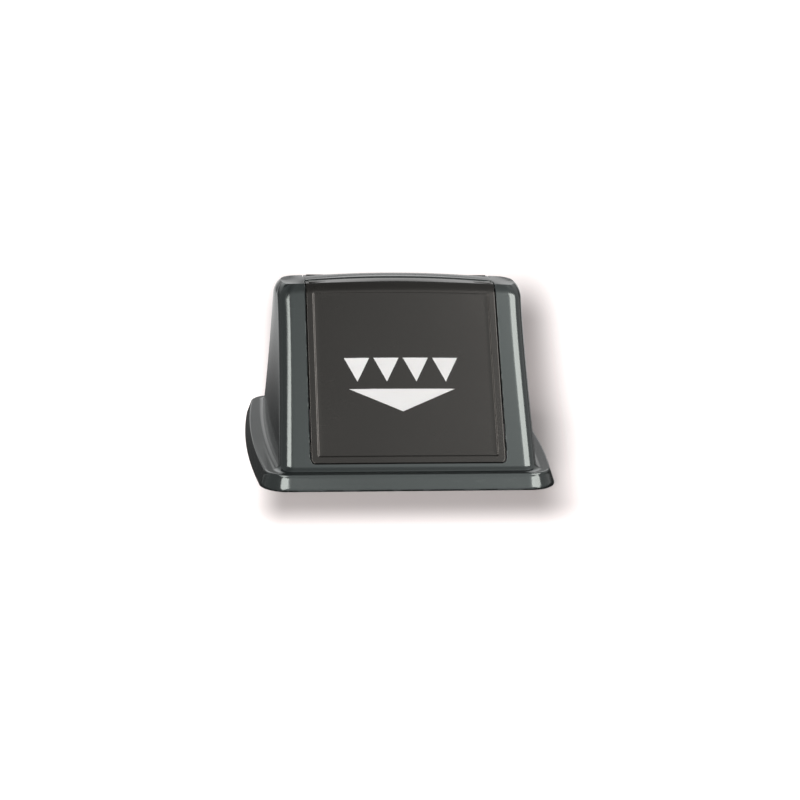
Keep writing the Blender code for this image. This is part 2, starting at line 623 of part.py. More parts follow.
def spring_path(left):
    """Wire of a torsion spring: a leg under the roof bridge, the coil, and a leg down the flap's back."""
    end = left + SPRING_TURNS * SPRING_PITCH
    roof = crowned(left, 0, HOOD_HEIGHT)[2] - WALL
    head_y, head_z = AXIS_Y / 2, roof - FIT - WIRE_RADIUS
    start = tangent_angle(head_y + AXIS_Y, head_z - AXIS_Z, -1)
    along = (AXIS_Z - SPRING_LEG_DROP - FACE_FOOT_Z) / UP_SLOPE[1]
    _, tail_y, tail_z = crowned(end, *face_point(along, FLAP_PLATE + FIT + WIRE_RADIUS))
    finish = tangent_angle(tail_y + AXIS_Y, tail_z - AXIS_Z, 1)
    sweep = 2 * math.pi * SPRING_TURNS + (finish - start) % (2 * math.pi)
    steps = STEPS_PER_TURN * SPRING_TURNS
    points = [(left, head_y, head_z)]
    for t in np.linspace(0, 1, steps + 1):
        angle = start + sweep * t
        points.append((left + (end - left) * t, -AXIS_Y + SPRING_RADIUS * math.cos(angle),
                       AXIS_Z + SPRING_RADIUS * math.sin(angle)))
    points.append((end, tail_y, tail_z))
    return points


def tangent_angle(y, z, hand):
    """Angle on the coil's circle where a straight leg to (y, z) leaves it."""
    reach = math.hypot(y, z)
    return math.atan2(z, y) + hand * math.acos(SPRING_RADIUS / reach)


def torsion_spring(mat, index, name):
    curve = bpy.data.curves.new(name, "CURVE")
    curve.dimensions = "3D"
    curve.bevel_depth = WIRE_RADIUS
    curve.bevel_resolution = 1
    curve.use_fill_caps = True
    spline = curve.splines.new("POLY")
    points = spring_path(SPRING_STARTS[index])
    spline.points.add(len(points) - 1)
    for point, place in zip(spline.points, points):
        point.co = (*(Vector(place) - AXIS), 1)
    curve.materials.append(mat)
    spring = bpy.data.objects.new(name, curve)
    bpy.context.scene.collection.objects.link(spring)
    spring.location = AXIS
    return spring


# ---------------------------------------------------------------- ridge cover and screws
def ridge_cover(mat):
    """Proud strip over the roof bridge, the same width as the flaps."""
    line = [(y, ridge_z(y)) for y in np.linspace(-COVER_HALF, COVER_HALF, 5)]
    bm = bmesh.new()
    for ring in swept_slab(bm, line, line, -FLAP_HALF, FLAP_HALF, STATIONS):
        for vert in ring:
            vert.co.z += FIT
        for vert in ring[:len(line)]:
            vert.co.z += COVER_THICKNESS
    cover = new_object("ridge_cover", bm, mat)
    bosses = bmesh.new()
    holes = bmesh.new()
    for x in COVER_SCREWS:
        roof = crowned(x, 0, HOOD_HEIGHT)[2]
        foot = roof - WALL + FIT
        cylinder(bosses, (x, 0, foot), (0, 0, 1), roof + FIT + COVER_THICKNESS / 2 - foot, COVER_BOSS_RADIUS)
        cylinder(holes, (x, 0, foot - SINK), (0, 0, 1), WALL + SINK, COVER_SCREW_RADIUS + FIT)
    combine(cover, new_object("cover_bosses", bosses), "UNION")
    combine(cover, new_object("cover_pilots", holes), "DIFFERENCE")
    smooth(cover, 50)
    return cover


def screw(name, mat, seat, shank, radius, head_radius):
    """Pan-head screw standing up from its seat point."""
    bm = bmesh.new()
    x, y, z = seat
    cylinder(bm, (x, y, z - FIT), (0, 0, -1), SCREW_HEAD, head_radius, 12, head_radius * 0.75)
    body = new_object(name, bm, mat)
    stem = bmesh.new()
    cylinder(stem, (x, y, z - FIT - SCREW_HEAD / 2), (0, 0, 1), shank + FIT + SCREW_HEAD / 2, radius, 12)
    combine(body, new_object("stem", stem), "UNION")
    smooth(body)
    return body


# ---------------------------------------------------------------- assembly
def build():
    clear_scene()
    hood_plastic = material("hood_plastic", (0.075, 0.088, 0.086), 0.32)
    flap_plastic = material("flap_plastic", (0.052, 0.050, 0.047), 0.42)
    nylon = material("black_nylon", (0.02, 0.02, 0.022), 0.5)
    acetal = material("natural_acetal", (0.72, 0.71, 0.66), 0.4)
    steel = material("zinc_steel", (0.62, 0.62, 0.6), 0.3, 1.0)
    spring_steel = material("spring_steel", (0.35, 0.35, 0.34), 0.35, 1.0)
    rubber = material("stop_rubber", (0.015, 0.015, 0.015), 0.8)

    hood_shell(hood_plastic)
    ridge_cover(hood_plastic)
    pieces = [flap(flap_plastic), hinge_rod(steel)]
    for side in (-1, 1):
        hinge_block(nylon, side)
        pieces += [bush(acetal, side), push_nut(spring_steel, side), stop_pad(rubber, side)]
    for index, side in enumerate(("left", "right")):
        pieces.append(torsion_spring(spring_steel, index, "front_spring_" + side))
    bpy.context.view_layer.update()
    swapped = {"left": "right", "right": "left"}
    for piece in pieces:
        name = piece.name.replace("front_", "rear_")
        for old, new in swapped.items():
            if name.endswith(old):
                name = name[: -len(old)] + new
                break
        rear_copy(piece, name)

    for number, x in enumerate(COVER_SCREWS, 1):
        roof = crowned(x, 0, HOOD_HEIGHT)[2]
        seat = (x, 0, roof - WALL - CURVE_GAP)
        screw(f"cover_screw_{number}", steel, seat, WALL, COVER_SCREW_RADIUS, COVER_SCREW_HEAD_RADIUS)
    for x_side, x in (("left", -BLOCK_MIDDLE), ("right", BLOCK_MIDDLE)):
        for y_side, y in (("front", -SCREW_Y), ("rear", SCREW_Y)):
            seat = (x, y, AXIS_Z - BLOCK_BELOW_AXIS)
            screw(f"block_screw_{x_side}_{y_side}", steel, seat, EAR_HEIGHT + SCREW_GRIP,
                  SCREW_RADIUS, SCREW_HEAD_RADIUS)


build()
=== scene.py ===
# %% [markdown]
# # The hood of a waste container, with a flap that is pushed inwards
# The hood is one large plastic moulding: a skirted flange that stands over the container's rim, and
# on it a body whose front and rear faces lean back to a narrow ridge. A flap hangs in each sloping
# face. This lesson rebuilds its visible surfaces as formulas on grids, gives each piece its own
# finish, and lights it softly in front of a white background.

# %% Load the frame
import bmesh
import bpy
import numpy as np
from mathutils import Matrix, Vector


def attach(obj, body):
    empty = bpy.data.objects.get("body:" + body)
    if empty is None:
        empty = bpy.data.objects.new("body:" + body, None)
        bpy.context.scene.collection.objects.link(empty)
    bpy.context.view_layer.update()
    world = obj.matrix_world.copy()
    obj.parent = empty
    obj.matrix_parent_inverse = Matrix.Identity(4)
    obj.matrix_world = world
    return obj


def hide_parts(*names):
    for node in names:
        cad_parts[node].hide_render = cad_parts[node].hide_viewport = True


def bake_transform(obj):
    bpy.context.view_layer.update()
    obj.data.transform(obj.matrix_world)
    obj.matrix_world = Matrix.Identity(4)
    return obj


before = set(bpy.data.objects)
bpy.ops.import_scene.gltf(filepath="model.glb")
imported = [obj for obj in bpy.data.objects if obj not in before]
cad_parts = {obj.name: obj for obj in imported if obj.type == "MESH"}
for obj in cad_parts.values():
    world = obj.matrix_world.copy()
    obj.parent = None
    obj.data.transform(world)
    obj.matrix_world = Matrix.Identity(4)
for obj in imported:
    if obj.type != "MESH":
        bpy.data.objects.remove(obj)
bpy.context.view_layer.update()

# %% [markdown]
# ## Sizes
# The visible surfaces have to lie exactly where the measured model has its walls, so the same named
# sizes come back here. They are in metres, and every later formula is written with them.

# %% Sizes of the hood and flaps
MM = 0.001
BASE_WIDTH, BASE_DEPTH, SIDE_BOW = 569 * MM, 600 * MM, 18.5 * MM
SKIRT_HEIGHT, SKIRT_DRAFT, SKIRT_CORNER = 31.5 * MM, 8 * MM, 54 * MM
SKIRT_EDGE, SKIRT_FOOT = 4 * MM, 3 * MM
HOOD_HEIGHT, HOOD_BOW, HOOD_CORNER = 363 * MM, 13 * MM, 27 * MM
SIDE_LEDGE, SIDE_TAPER, LEDGE = 33.5 * MM, 13.5 * MM, 14 * MM
ROOT_FILLET, RIDGE_HALF = 10 * MM, 40.5 * MM
RIDGE_RADIUS, RIDGE_END_RADIUS = 125 * MM, 33 * MM
BROW_HEIGHT, BROW_SET_BACK = 18 * MM, 5 * MM
CROWN_RIDGE, CROWN_BROW = 9.2 * MM, 3.4 * MM
WALL, STILE, FLAP_GAP = 3.5 * MM, 47.5 * MM, 1.8 * MM
DOORWAY_SILL, DOORWAY_CORNER, BRIDGE_HALF = 14 * MM, 10 * MM, 18 * MM

HOOD_WIDTH = BASE_WIDTH - 2 * SIDE_LEDGE
HOOD_TOP_WIDTH = HOOD_WIDTH - 2 * SIDE_TAPER
FLAP_HALF = HOOD_TOP_WIDTH / 2 - STILE
DOORWAY_HALF = FLAP_HALF + FLAP_GAP
FACE_FOOT_Z = SKIRT_HEIGHT + 2 * MM
FACE_FOOT_Y = BASE_DEPTH / 2 - SKIRT_DRAFT - SKIRT_EDGE - LEDGE
RIDGE_EDGE_Z = HOOD_HEIGHT - RIDGE_RADIUS + np.sqrt(RIDGE_RADIUS**2 - RIDGE_HALF**2)
FACE_RUN = FACE_FOOT_Y - RIDGE_HALF - BROW_SET_BACK
FACE_LENGTH = np.hypot(FACE_RUN, RIDGE_EDGE_Z - FACE_FOOT_Z)
UP_SLOPE = np.array([FACE_RUN, RIDGE_EDGE_Z - FACE_FOOT_Z]) / FACE_LENGTH
FACE_NORMAL = np.array([0, -UP_SLOPE[1], UP_SLOPE[0]])
print(f"face: {FACE_LENGTH / MM:.1f} mm long, leaning back {np.degrees(np.arcsin(UP_SLOPE[0])):.1f} degrees")

# %% [markdown]
# ## From a grid of points to a mesh
# Every new surface is worked out as a whole array of points, with one axis along its profile and one
# across it. A sheet joins neighbours into quads. Rings that close on themselves join the last column
# to the first. The mesh gets the points and faces in one call each, which is fast and keeps the
# order of the grid.

# %% Grid to mesh
def grid_faces(rows, columns, closed=False, keep=None):
    """Quads between neighbours: (i, j), (i, j+1), (i+1, j+1), (i+1, j), counted row by row."""
    across = columns if closed else columns - 1
    i, j = np.meshgrid(np.arange(rows - 1), np.arange(across), indexing="ij")
    k = (j + 1) % columns
    row, above = i * columns, (i + 1) * columns
    quads = np.stack([row + j, row + k, above + k, above + j], -1)
    return quads[keep] if keep is not None else quads.reshape(-1, 4)


def make_mesh(name, points, faces, smooth_angle=40):
    """A mesh object from points and lists of faces; points no face uses go, and equal points are merged."""
    points = np.asarray(points, float).reshape(-1, 3)
    faces = [face for group in faces for face in np.asarray(group).tolist()]
    used = np.unique(np.concatenate([np.asarray(face) for face in faces]))
    order = np.full(len(points), -1)
    order[used] = np.arange(len(used))
    mesh = bpy.data.meshes.new(name)
    mesh.from_pydata(points[used].tolist(), [], [order[face].tolist() for face in faces])
    work = bmesh.new()
    work.from_mesh(mesh)
    bmesh.ops.remove_doubles(work, verts=work.verts, dist=0.001 * MM)
    work.to_mesh(mesh)
    work.free()
    mesh.shade_smooth()
    mesh.set_sharp_from_angle(angle=np.radians(smooth_angle))
    piece = bpy.data.objects.new(name, mesh)
    bpy.context.scene.collection.objects.link(piece)
    print(f"{name}: {len(mesh.vertices)} points, {len(mesh.polygons)} faces")
    return piece


def finish_piece(piece, material, body, replaces=()):
    """Give a finished piece its material, the body it rides on and the nodes it stands for."""
    piece.data.materials.clear()
    piece.data.materials.append(material)
    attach(piece, body)
    if replaces:
        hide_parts(*replaces)
    return piece


# %% [markdown]
# ## The hood's surface as a formula
# In plan, every level of the hood is one loop: straight at the front and rear, bowed at the sides,
# with round corners between them. Only the loop's size changes with height. The ridge is crowned, so
# each point also drops a little with the square of its distance from the middle.

# %% Loops and crown
def crowned(points):
    """z falls by drop * (x / half flap)^2; the drop grows up the face and again over the ridge."""
    x, y, z = points[..., 0], points[..., 1], points[..., 2]
    brow = CROWN_BROW * np.clip((z - FACE_FOOT_Z) / (RIDGE_EDGE_Z - FACE_FOOT_Z), 0, 1)
    ridge = (CROWN_RIDGE - CROWN_BROW) * np.clip((z - RIDGE_EDGE_Z) / (HOOD_HEIGHT - RIDGE_EDGE_Z), 0, 1)
    return np.stack([x, y, z - (brow + ridge) * (x / FLAP_HALF) ** 2], -1)


def ridge_z(y):
    """Height of the ridge: a circle of RIDGE_RADIUS whose top is at HOOD_HEIGHT."""
    return HOOD_HEIGHT - RIDGE_RADIUS + np.sqrt(RIDGE_RADIUS**2 - y * y)


def face_half_depth(z):
    """Straight line from foot to ridge edge, set back by the square of the way up the brow."""
    straight = FACE_FOOT_Y - FACE_RUN * (z - FACE_FOOT_Z) / (RIDGE_EDGE_Z - FACE_FOOT_Z)
    brow = np.clip((z - (RIDGE_EDGE_Z - BROW_HEIGHT)) / BROW_HEIGHT, 0, 1)
    return straight - BROW_SET_BACK * brow**2


def hood_half_width(z):
    """Half width that tapers with height and rounds off over RIDGE_END_RADIUS below the ridge."""
    rise = (z - FACE_FOOT_Z) / (HOOD_HEIGHT - FACE_FOOT_Z)
    half = (HOOD_WIDTH + (HOOD_TOP_WIDTH - HOOD_WIDTH) * rise) / 2
    over = np.clip(z - (HOOD_HEIGHT - RIDGE_END_RADIUS), 0, RIDGE_END_RADIUS)
    return half - RIDGE_END_RADIUS + np.sqrt(RIDGE_END_RADIUS**2 - over**2)


def crowded(half, near, count):
    """Stations from -half to half: some close to both ends, and evenly spaced ones between them."""
    ends = half - np.asarray(near)
    inner = np.linspace(-ends[-1], ends[-1], count)[1:-1]
    return np.concatenate([-ends, inner, ends[::-1]])


NEAR_CORNER = np.array([0, 1.4, 2.8, 4.4, 6.2, 8.2, 10.5, 13.5]) * MM
DOOR_STATIONS = crowded(DOORWAY_HALF, NEAR_CORNER, 45)
OUTER_STEPS, CORNER_STEPS, SIDE_STEPS = 12, 14, 24


def plan_loops(half_width, bow, half_depth, corner):
    """Loops for whole columns of levels at once, from the middle of the left side round the front.

    Left side: x = -(w + bow * (1 - (y / d)^2)). Corner: a quarter circle. Front: y = -d.
    The right half mirrors the left, and the rear mirrors the front.
    """
    w, b, d, r = (np.broadcast_to(np.asarray(v, float), np.shape(half_depth))[:, None]
                  for v in (half_width, bow, half_depth, corner))
    t = np.linspace(0, 1, SIDE_STEPS + 1)[None]
    side_y = -t * (d - r)
    side_x = -(w + b * (1 - (side_y / d) ** 2))
    edge = -side_x[:, -1:] - r
    angle = np.linspace(np.pi, 1.5 * np.pi, CORNER_STEPS + 1)[None, 1:]
    arc_x, arc_y = -edge + r * np.cos(angle), -d + r + r * np.sin(angle)
    s = 1 - np.linspace(1, 0, OUTER_STEPS + 1)[None, 1:-1] ** 1.5
    stile_x = -edge + s * (edge - DOORWAY_HALF)
    left_x = np.concatenate([side_x, arc_x, stile_x], 1)
    left_y = np.concatenate([side_y, arc_y, np.broadcast_to(-d, stile_x.shape)], 1)
    door_x = np.broadcast_to(DOOR_STATIONS[None], (len(d), len(DOOR_STATIONS)))
    half_x = np.concatenate([left_x, door_x, -left_x[:, ::-1]], 1)
    half_y = np.concatenate([left_y, np.broadcast_to(-d, door_x.shape), left_y[:, ::-1]], 1)
    loop_x = np.concatenate([half_x, half_x[:, -2:0:-1]], 1)
    loop_y = np.concatenate([half_y, -half_y[:, -2:0:-1]], 1)
    return loop_x, loop_y


LEFT_POINTS = SIDE_STEPS + 1 + CORNER_STEPS + OUTER_STEPS - 1
HALF_POINTS = 2 * LEFT_POINTS + len(DOOR_STATIONS)
print("points round the hood:", 2 * HALF_POINTS - 2)

# %% [markdown]
# ## Levels of the hood
# The hood is drawn from the foot of its skirt upwards, as one would turn a vase: skirt, rounded edge,
# flange, concave fillet, sloping faces, brow and ridge. Levels lie close together where the profile
# bends, and one level lies exactly on the doorway's sill and one on the edge of the roof bridge, so
# that the doorways can be left open along lines of the grid.

# %% Levels of the hood
SILL_Z = FACE_FOOT_Z + DOORWAY_SILL * UP_SLOPE[1]
CLOSER_Z = 325 * MM  # levels lie closer together above it, where the brow bends


def skirt_level(inset, z):
    """The skirt's loop at height z, drawn in by inset on every side."""
    return BASE_WIDTH / 2 - inset, SIDE_BOW, BASE_DEPTH / 2 - inset, SKIRT_CORNER - inset, z


def body_level(z, out=0.0):
    """The body's loop at height z, moved outwards by out on every side."""
    return hood_half_width(z) + out, HOOD_BOW, face_half_depth(z) + out, HOOD_CORNER + out, z


def hood_levels():
    """Columns of (half width, bow, half depth, corner radius, height) from the skirt to the ridge.

    Rounded edge: inset and drop are radius * (1 - cos a) and radius * (1 - sin a). The fillet is the
    same turn the other way round, and the flange is a straight line between the two.
    """
    rows = [skirt_level(0, z) for z in (0, 0.5 * MM, SKIRT_FOOT)]
    draft_rise = SKIRT_HEIGHT - SKIRT_EDGE - SKIRT_FOOT
    rows += [skirt_level(SKIRT_DRAFT * t, SKIRT_FOOT + draft_rise * t) for t in np.linspace(0.2, 1, 5)]
    for a in np.radians(np.linspace(10, 90, 9)):
        drop = SKIRT_EDGE * (1 - np.sin(a))
        rows.append(skirt_level(SKIRT_DRAFT + SKIRT_EDGE * (1 - np.cos(a)), SKIRT_HEIGHT - drop))
    start, end = np.array(rows[-1]), np.array(body_level(SKIRT_HEIGHT, ROOT_FILLET))
    rows += [start + t * (end - start) for t in np.linspace(0, 1, 6)[1:-1]]
    for a in np.radians(np.linspace(90, 10, 9)):
        rows.append(body_level(SKIRT_HEIGHT + ROOT_FILLET * (1 - np.sin(a)), ROOT_FILLET * (1 - np.cos(a))))
    near_sill = SILL_Z + NEAR_CORNER * UP_SLOPE[1]
    face = [np.linspace(SKIRT_HEIGHT + ROOT_FILLET, SILL_Z, 6)[:-1], near_sill[:-1],
            np.linspace(near_sill[-1], CLOSER_Z, 54), np.linspace(CLOSER_Z, RIDGE_EDGE_Z, 20)[1:]]
    rows += [body_level(z) for z in np.concatenate(face)]
    roof = [np.linspace(RIDGE_HALF, BRIDGE_HALF, 12)[1:], np.linspace(BRIDGE_HALF, 0.6 * MM, 9)[1:]]
    for y in np.concatenate(roof):
        rows.append((hood_half_width(ridge_z(y)), HOOD_BOW, y, min(HOOD_CORNER, 0.6 * y), ridge_z(y)))
    return np.array(rows).T


half_width, bow, half_depth, corner, height = hood_levels()
loop_x, loop_y = plan_loops(half_width, bow, half_depth, corner)
outside = np.stack([loop_x, loop_y, np.broadcast_to(height[:, None], loop_x.shape)], -1)
print("levels:", len(height), "grid:", outside.shape)


# %% [markdown]
# ## The doorways
# A doorway is a rectangle on the grid with its two lower corners rounded. The faces inside it are
# left out. To round a corner without cutting, the points on its two legs are slid on to a quarter
# circle, and the points round it follow, less and less with distance.

# %% Doorway and its round corners
def round_doorway(points):
    """Moves each grid point near a doorway's lower corner by (arc - leg), faded over 1.5 radii."""
    moved = points.copy()
    r = DOORWAY_CORNER
    x, y, z = points[..., 0], points[..., 1], points[..., 2]
    up = (z - SILL_Z) / UP_SLOPE[1]
    on_face = (np.abs(np.abs(y) - face_half_depth(z)) < 0.01 * MM) & (np.abs(x) < DOORWAY_HALF + 2 * r)
    p, q = np.abs(x) - DOORWAY_HALF, up
    leg_p, leg_q = np.clip(p, -r, 0), np.clip(q, 0, r)
    outer_side = p >= 0
    leg_p = np.where(outer_side, 0, leg_p)
    leg_q = np.where(outer_side, leg_q, 0)
    t = np.where(outer_side, (1 - leg_q / r) / 2, 0.5 - leg_p / (2 * r))
    arc_p, arc_q = -r + r * np.cos(t * np.pi / 2), r - r * np.sin(t * np.pi / 2)
    distance = np.hypot(p - leg_p, q - leg_q)
    weight = np.clip(1 - distance / (1.5 * r), 0, 1) ** 2 * on_face
    shift_up = weight * (arc_q - leg_q)
    moved[..., 0] += np.sign(x) * weight * (arc_p - leg_p)
    moved[..., 1] -= np.sign(y) * shift_up * UP_SLOPE[0]
    moved[..., 2] += shift_up * UP_SLOPE[1]
    return moved


def doorway_faces(levels, columns):
    """True for each quad that stays: not between sill and bridge within the doorway's stations."""
    keep = np.ones((levels - 1, columns), bool)
    rows = (height[:-1] >= SILL_Z - 1e-9) & (half_depth[1:] >= BRIDGE_HALF - 1e-9)
    front = slice(LEFT_POINTS, LEFT_POINTS + len(DOOR_STATIONS) - 1)
    rear_start = HALF_POINTS - 1 + LEFT_POINTS
    rear = slice(rear_start, rear_start + len(DOOR_STATIONS) - 1)
    keep[rows, front] = False
    keep[rows, rear] = False
    return keep


outside = crowned(round_doorway(outside))
levels, columns = outside.shape[:2]
hood_quads = grid_faces(levels, columns, closed=True, keep=doorway_faces(levels, columns))
last = (levels - 1) * columns
i = np.arange(HALF_POINTS)
front_side, rear_side = last + i, last + (columns - i) % columns
cap = np.stack([front_side[:-1], front_side[1:], rear_side[1:], rear_side[:-1]], -1)
cap_tips = [list(dict.fromkeys(face)) for face in cap[[0, -1]].tolist()]
hood = make_mesh("hood", outside, [hood_quads, cap[1:-1], cap_tips])

# %% [markdown]
# ## Wall, rib and bosses
# The moulding is one skin of even thickness, so Solidify gives the wall, inwards from the outside.
# A small Bevel then rounds the edges that a mould leaves at the doorways and the foot of the skirt.
# Under the flange runs a rib that centres the hood on the container, and four bosses hang from the
# roof for the screws of the hinge blocks.

# %% Wall thickness and edge rounding
def give_wall(piece, thickness):
    """Solidify inwards only: the outside surface stays where the formula put it."""
    wall = piece.modifiers.new("wall", "SOLIDIFY")
    wall.thickness, wall.offset, wall.use_even_offset = thickness, -1, True


def soften(piece, width, segments=2, angle=50):
    """Bevel every edge sharper than the angle."""
    edge = piece.modifiers.new("edges", "BEVEL")
    edge.width, edge.segments, edge.limit_method = width, segments, "ANGLE"
    edge.angle_limit, edge.harden_normals, edge.use_clamp_overlap = np.radians(angle), False, False


give_wall(hood, WALL)
soften(hood, 0.8 * MM, 3)


# %% Locating rib under the flange
RIB_SIDE, RIB_FRONT, RIB_THICK, RIB_FOOT = 1 * MM, 2 * MM, 3 * MM, 4 * MM
rib_section = np.array([[0, RIB_FOOT], [0, SKIRT_HEIGHT + WALL], [RIB_THICK, SKIRT_HEIGHT + WALL],
                        [RIB_THICK, RIB_FOOT], [0, RIB_FOOT]])
inset, rib_z = rib_section.T
rib_x, rib_y = plan_loops(HOOD_WIDTH / 2 + RIB_SIDE - inset, HOOD_BOW, FACE_FOOT_Y - RIB_FRONT - inset,
                          HOOD_CORNER - inset)
rib_points = np.stack([rib_x, rib_y, np.broadcast_to(rib_z[:, None], rib_x.shape)], -1)
locating_rib = make_mesh("locating_rib", rib_points, [grid_faces(*rib_x.shape, closed=True)])
soften(locating_rib, 0.6 * MM)


# %% [markdown]
# ## Turned pieces
# Rods, bushes, caps, screws and bosses are all round about one line. Each is a profile of distances
# along that line and radii, turned in even steps. Corners of the profile are rounded first, so that
# every edge catches a thin line of light.

# %% Round a corner and turn a profile
def round_corners(points, radius, steps=4):
    """Each corner becomes (1-t)^2 * start + 2t(1-t) * corner + t^2 * end, with its ends radius away."""
    points = np.asarray(points, float)
    before, after = np.roll(points, 1, 0) - points, np.roll(points, -1, 0) - points
    lengths = [np.maximum(np.linalg.norm(v, axis=1), 1e-9)[:, None] for v in (before, after)]
    reach = [np.minimum(radius / length, 0.45) for length in lengths]
    t = np.linspace(0, 1, steps)[None, :, None]
    start, end = (points + reach[0] * before)[:, None], (points + reach[1] * after)[:, None]
    arcs = (1 - t) ** 2 * start + 2 * t * (1 - t) * points[:, None] + t**2 * end
    arcs[0], arcs[-1] = points[0], points[-1]
    return arcs.reshape(-1, points.shape[1])


def turned(name, profile, start, axis=(1, 0, 0), sides=40, relief=None):
    """Points start + along * axis + radius * (cos a * u + sin a * v), one ring for each profile point."""
    axis = np.asarray(axis, float)
    u = np.cross(axis, [0, 1, 0] if abs(axis[1]) < 0.5 else [1, 0, 0])
    u /= np.linalg.norm(u)
    v = np.cross(axis, u)
    along, radius = np.asarray(profile, float).T
    angle = np.arange(sides) * 2 * np.pi / sides
    ring = np.cos(angle)[None, :, None] * u + np.sin(angle)[None, :, None] * v
    depth = along[:, None] + (relief(radius[:, None], angle[None]) if relief else 0 * angle[None])
    points = np.asarray(start) + depth[..., None] * axis + radius[:, None, None] * ring
    return make_mesh(name, points, [grid_faces(len(along), sides, closed=True)])


# %% Roof bosses
AXIS_Y, AXIS_Z = 13 * MM, HOOD_HEIGHT - 25 * MM
ROD_RADIUS, FIT, SINK = 3 * MM, 0.3 * MM, 1 * MM
BLOCK_X, BLOCK_THICKNESS = FLAP_HALF + 3 * MM, 14 * MM
BLOCK_OUT, BLOCK_MIDDLE = BLOCK_X + BLOCK_THICKNESS, BLOCK_X + BLOCK_THICKNESS / 2
BLOCK_LOW, EAR_HEIGHT, SCREW_Y = AXIS_Z - 11 * MM, 7 * MM, 30 * MM
EAR_TOP = BLOCK_LOW + EAR_HEIGHT
BOSS_RADIUS, SCREW_RADIUS, SCREW_GRIP = 5.5 * MM, 2 * MM, 8 * MM
roof_bosses = []
for x in (-BLOCK_MIDDLE, BLOCK_MIDDLE):
    for y in (-SCREW_Y, SCREW_Y):
        roof = crowned(np.array([x, y, ridge_z(y)]))[2] - WALL + SINK - EAR_TOP - FIT
        bore = SCREW_RADIUS + FIT
        outline = [(0, bore), (0, BOSS_RADIUS), (roof, BOSS_RADIUS), (roof, bore), (SCREW_GRIP, bore),
                   (0, bore)]
        name = f"roof_boss_{len(roof_bosses) + 1}"
        roof_bosses.append(turned(name, round_corners(outline, 0.5 * MM), (x, y, EAR_TOP + FIT), (0, 0, 1)))

# %% [markdown]
# ## The flap's shape
# The flap continues the hood's surface across the doorway: up the face, over the brow and back to the
# ridge. It is a shallow tray with a turned-in rim, and its panel is sunk a little into the front.
# Rings of rounded rectangles run round it, from the back, over the rim, across the border and down
# the step of the panel. Each ring has a distance in from the edge and a depth behind the outer skin.

# %% Profile of the flap
def flap_line(steps=24):
    """(distance up from the sill edge, y, z, normal y, normal z) along the flap's outer skin."""
    brow_z = np.linspace(RIDGE_EDGE_Z - BROW_HEIGHT, RIDGE_EDGE_Z, steps)
    low_z = FACE_FOOT_Z + (DOORWAY_SILL + FLAP_GAP) * UP_SLOPE[1]
    z = np.concatenate([np.linspace(low_z, brow_z[0], steps)[:-1], brow_z])
    top_y = np.linspace(RIDGE_HALF, BRIDGE_HALF + FLAP_GAP, steps // 2)[1:]
    y = np.concatenate([-face_half_depth(z), -top_y])
    z = np.concatenate([z, ridge_z(top_y)])
    run = np.gradient(np.stack([y, z]), axis=1)
    run /= np.linalg.norm(run, axis=0)
    distance = np.concatenate([[0], np.cumsum(np.hypot(np.diff(y), np.diff(z)))])
    return np.stack([distance, y, z, -run[1], run[0]])


FLAP_LINE = flap_line()
FLAP_LENGTH = FLAP_LINE[0, -1]


def on_flap(x, up, depth):
    """Crowned point at x, a distance up the skin, and a depth below it along the skin's normal."""
    y, z, ny, nz = (np.interp(up, FLAP_LINE[0], row) for row in FLAP_LINE[1:])
    depth = np.broadcast_to(depth, np.shape(y))
    return crowned(np.stack([np.broadcast_to(x, np.shape(y)), y - depth * ny, z - depth * nz], -1))


print(f"flap: {2 * FLAP_HALF / MM:.0f} mm wide, {FLAP_LENGTH / MM:.0f} mm from sill to ridge")


# %% Rings of rounded rectangles
def rectangle_rings(low, high, round_low, round_high, cuts_x, cuts_y, arc=6):
    """Rings from low (u, v) to high (u, v): four quarter circles joined by sides cut at set fractions."""
    (u0, v0), (u1, v1) = np.asarray(low).T[..., None], np.asarray(high).T[..., None]
    a, b = np.asarray(round_low)[:, None], np.asarray(round_high)[:, None]
    turn = np.linspace(0, np.pi / 2, arc + 1)[None]
    c, s = np.cos(turn), np.sin(turn)
    f, g = cuts_x[None, 1:-1], cuts_y[None, 1:-1]
    back_f, back_g = f[:, ::-1], g[:, ::-1]
    width_low, width_high, side = u1 - u0 - 2 * a, u1 - u0 - 2 * b, v1 - v0 - a - b
    u = [u0 + a - a * c, u0 + a + f * width_low, u1 - a + a * s, u1 + 0 * g,
         u1 - b + b * c, u0 + b + back_f * width_high, u0 + b - b * s, u0 + 0 * g]
    v = [v0 + a - a * s, v0 + 0 * f, v0 + a - a * c, v0 + a + g * side,
         v1 - b + b * s, v1 + 0 * f, v1 - b + b * c, v0 + a + back_g * side]
    return np.concatenate(u, 1), np.concatenate(v, 1)


def ringed_plate(name, low, high, round_low, round_high, depth, place, cuts_x, cuts_y):
    """Closed plate: rings from the middle of the back round the edge to the middle of the front."""
    u, v = rectangle_rings(low, high, round_low, round_high, cuts_x, cuts_y)
    rings = place(u, v, np.asarray(depth)[:, None] + 0 * u)
    ends = []
    for k in (0, -1):
        (u0, v0), (u1, v1) = low[k], high[k]
        grid_u, grid_v = np.meshgrid(u0 + cuts_x * (u1 - u0), v0 + cuts_y * (v1 - v0))
        ends.append(place(grid_u, grid_v, depth[k] + 0 * grid_u))
    rows, columns = u.shape
    middle = grid_faces(*grid_u.shape)
    points = np.concatenate([rings.reshape(-1, 3)] + [end.reshape(-1, 3) for end in ends])
    back, front = rows * columns, rows * columns + grid_u.size
    faces = [grid_faces(rows, columns, closed=True), middle[:, ::-1] + back, middle + front]
    return make_mesh(name, points, faces)


# %% [markdown]
# ## The flap's skin
# One table of steps describes the whole section of the tray's edge: the pocket at the back, the rim,
# the rounded outer edge, the border and the step down to the panel. At the top, the border is wider,
# because it runs over the brow, so its rings are spread further apart there.

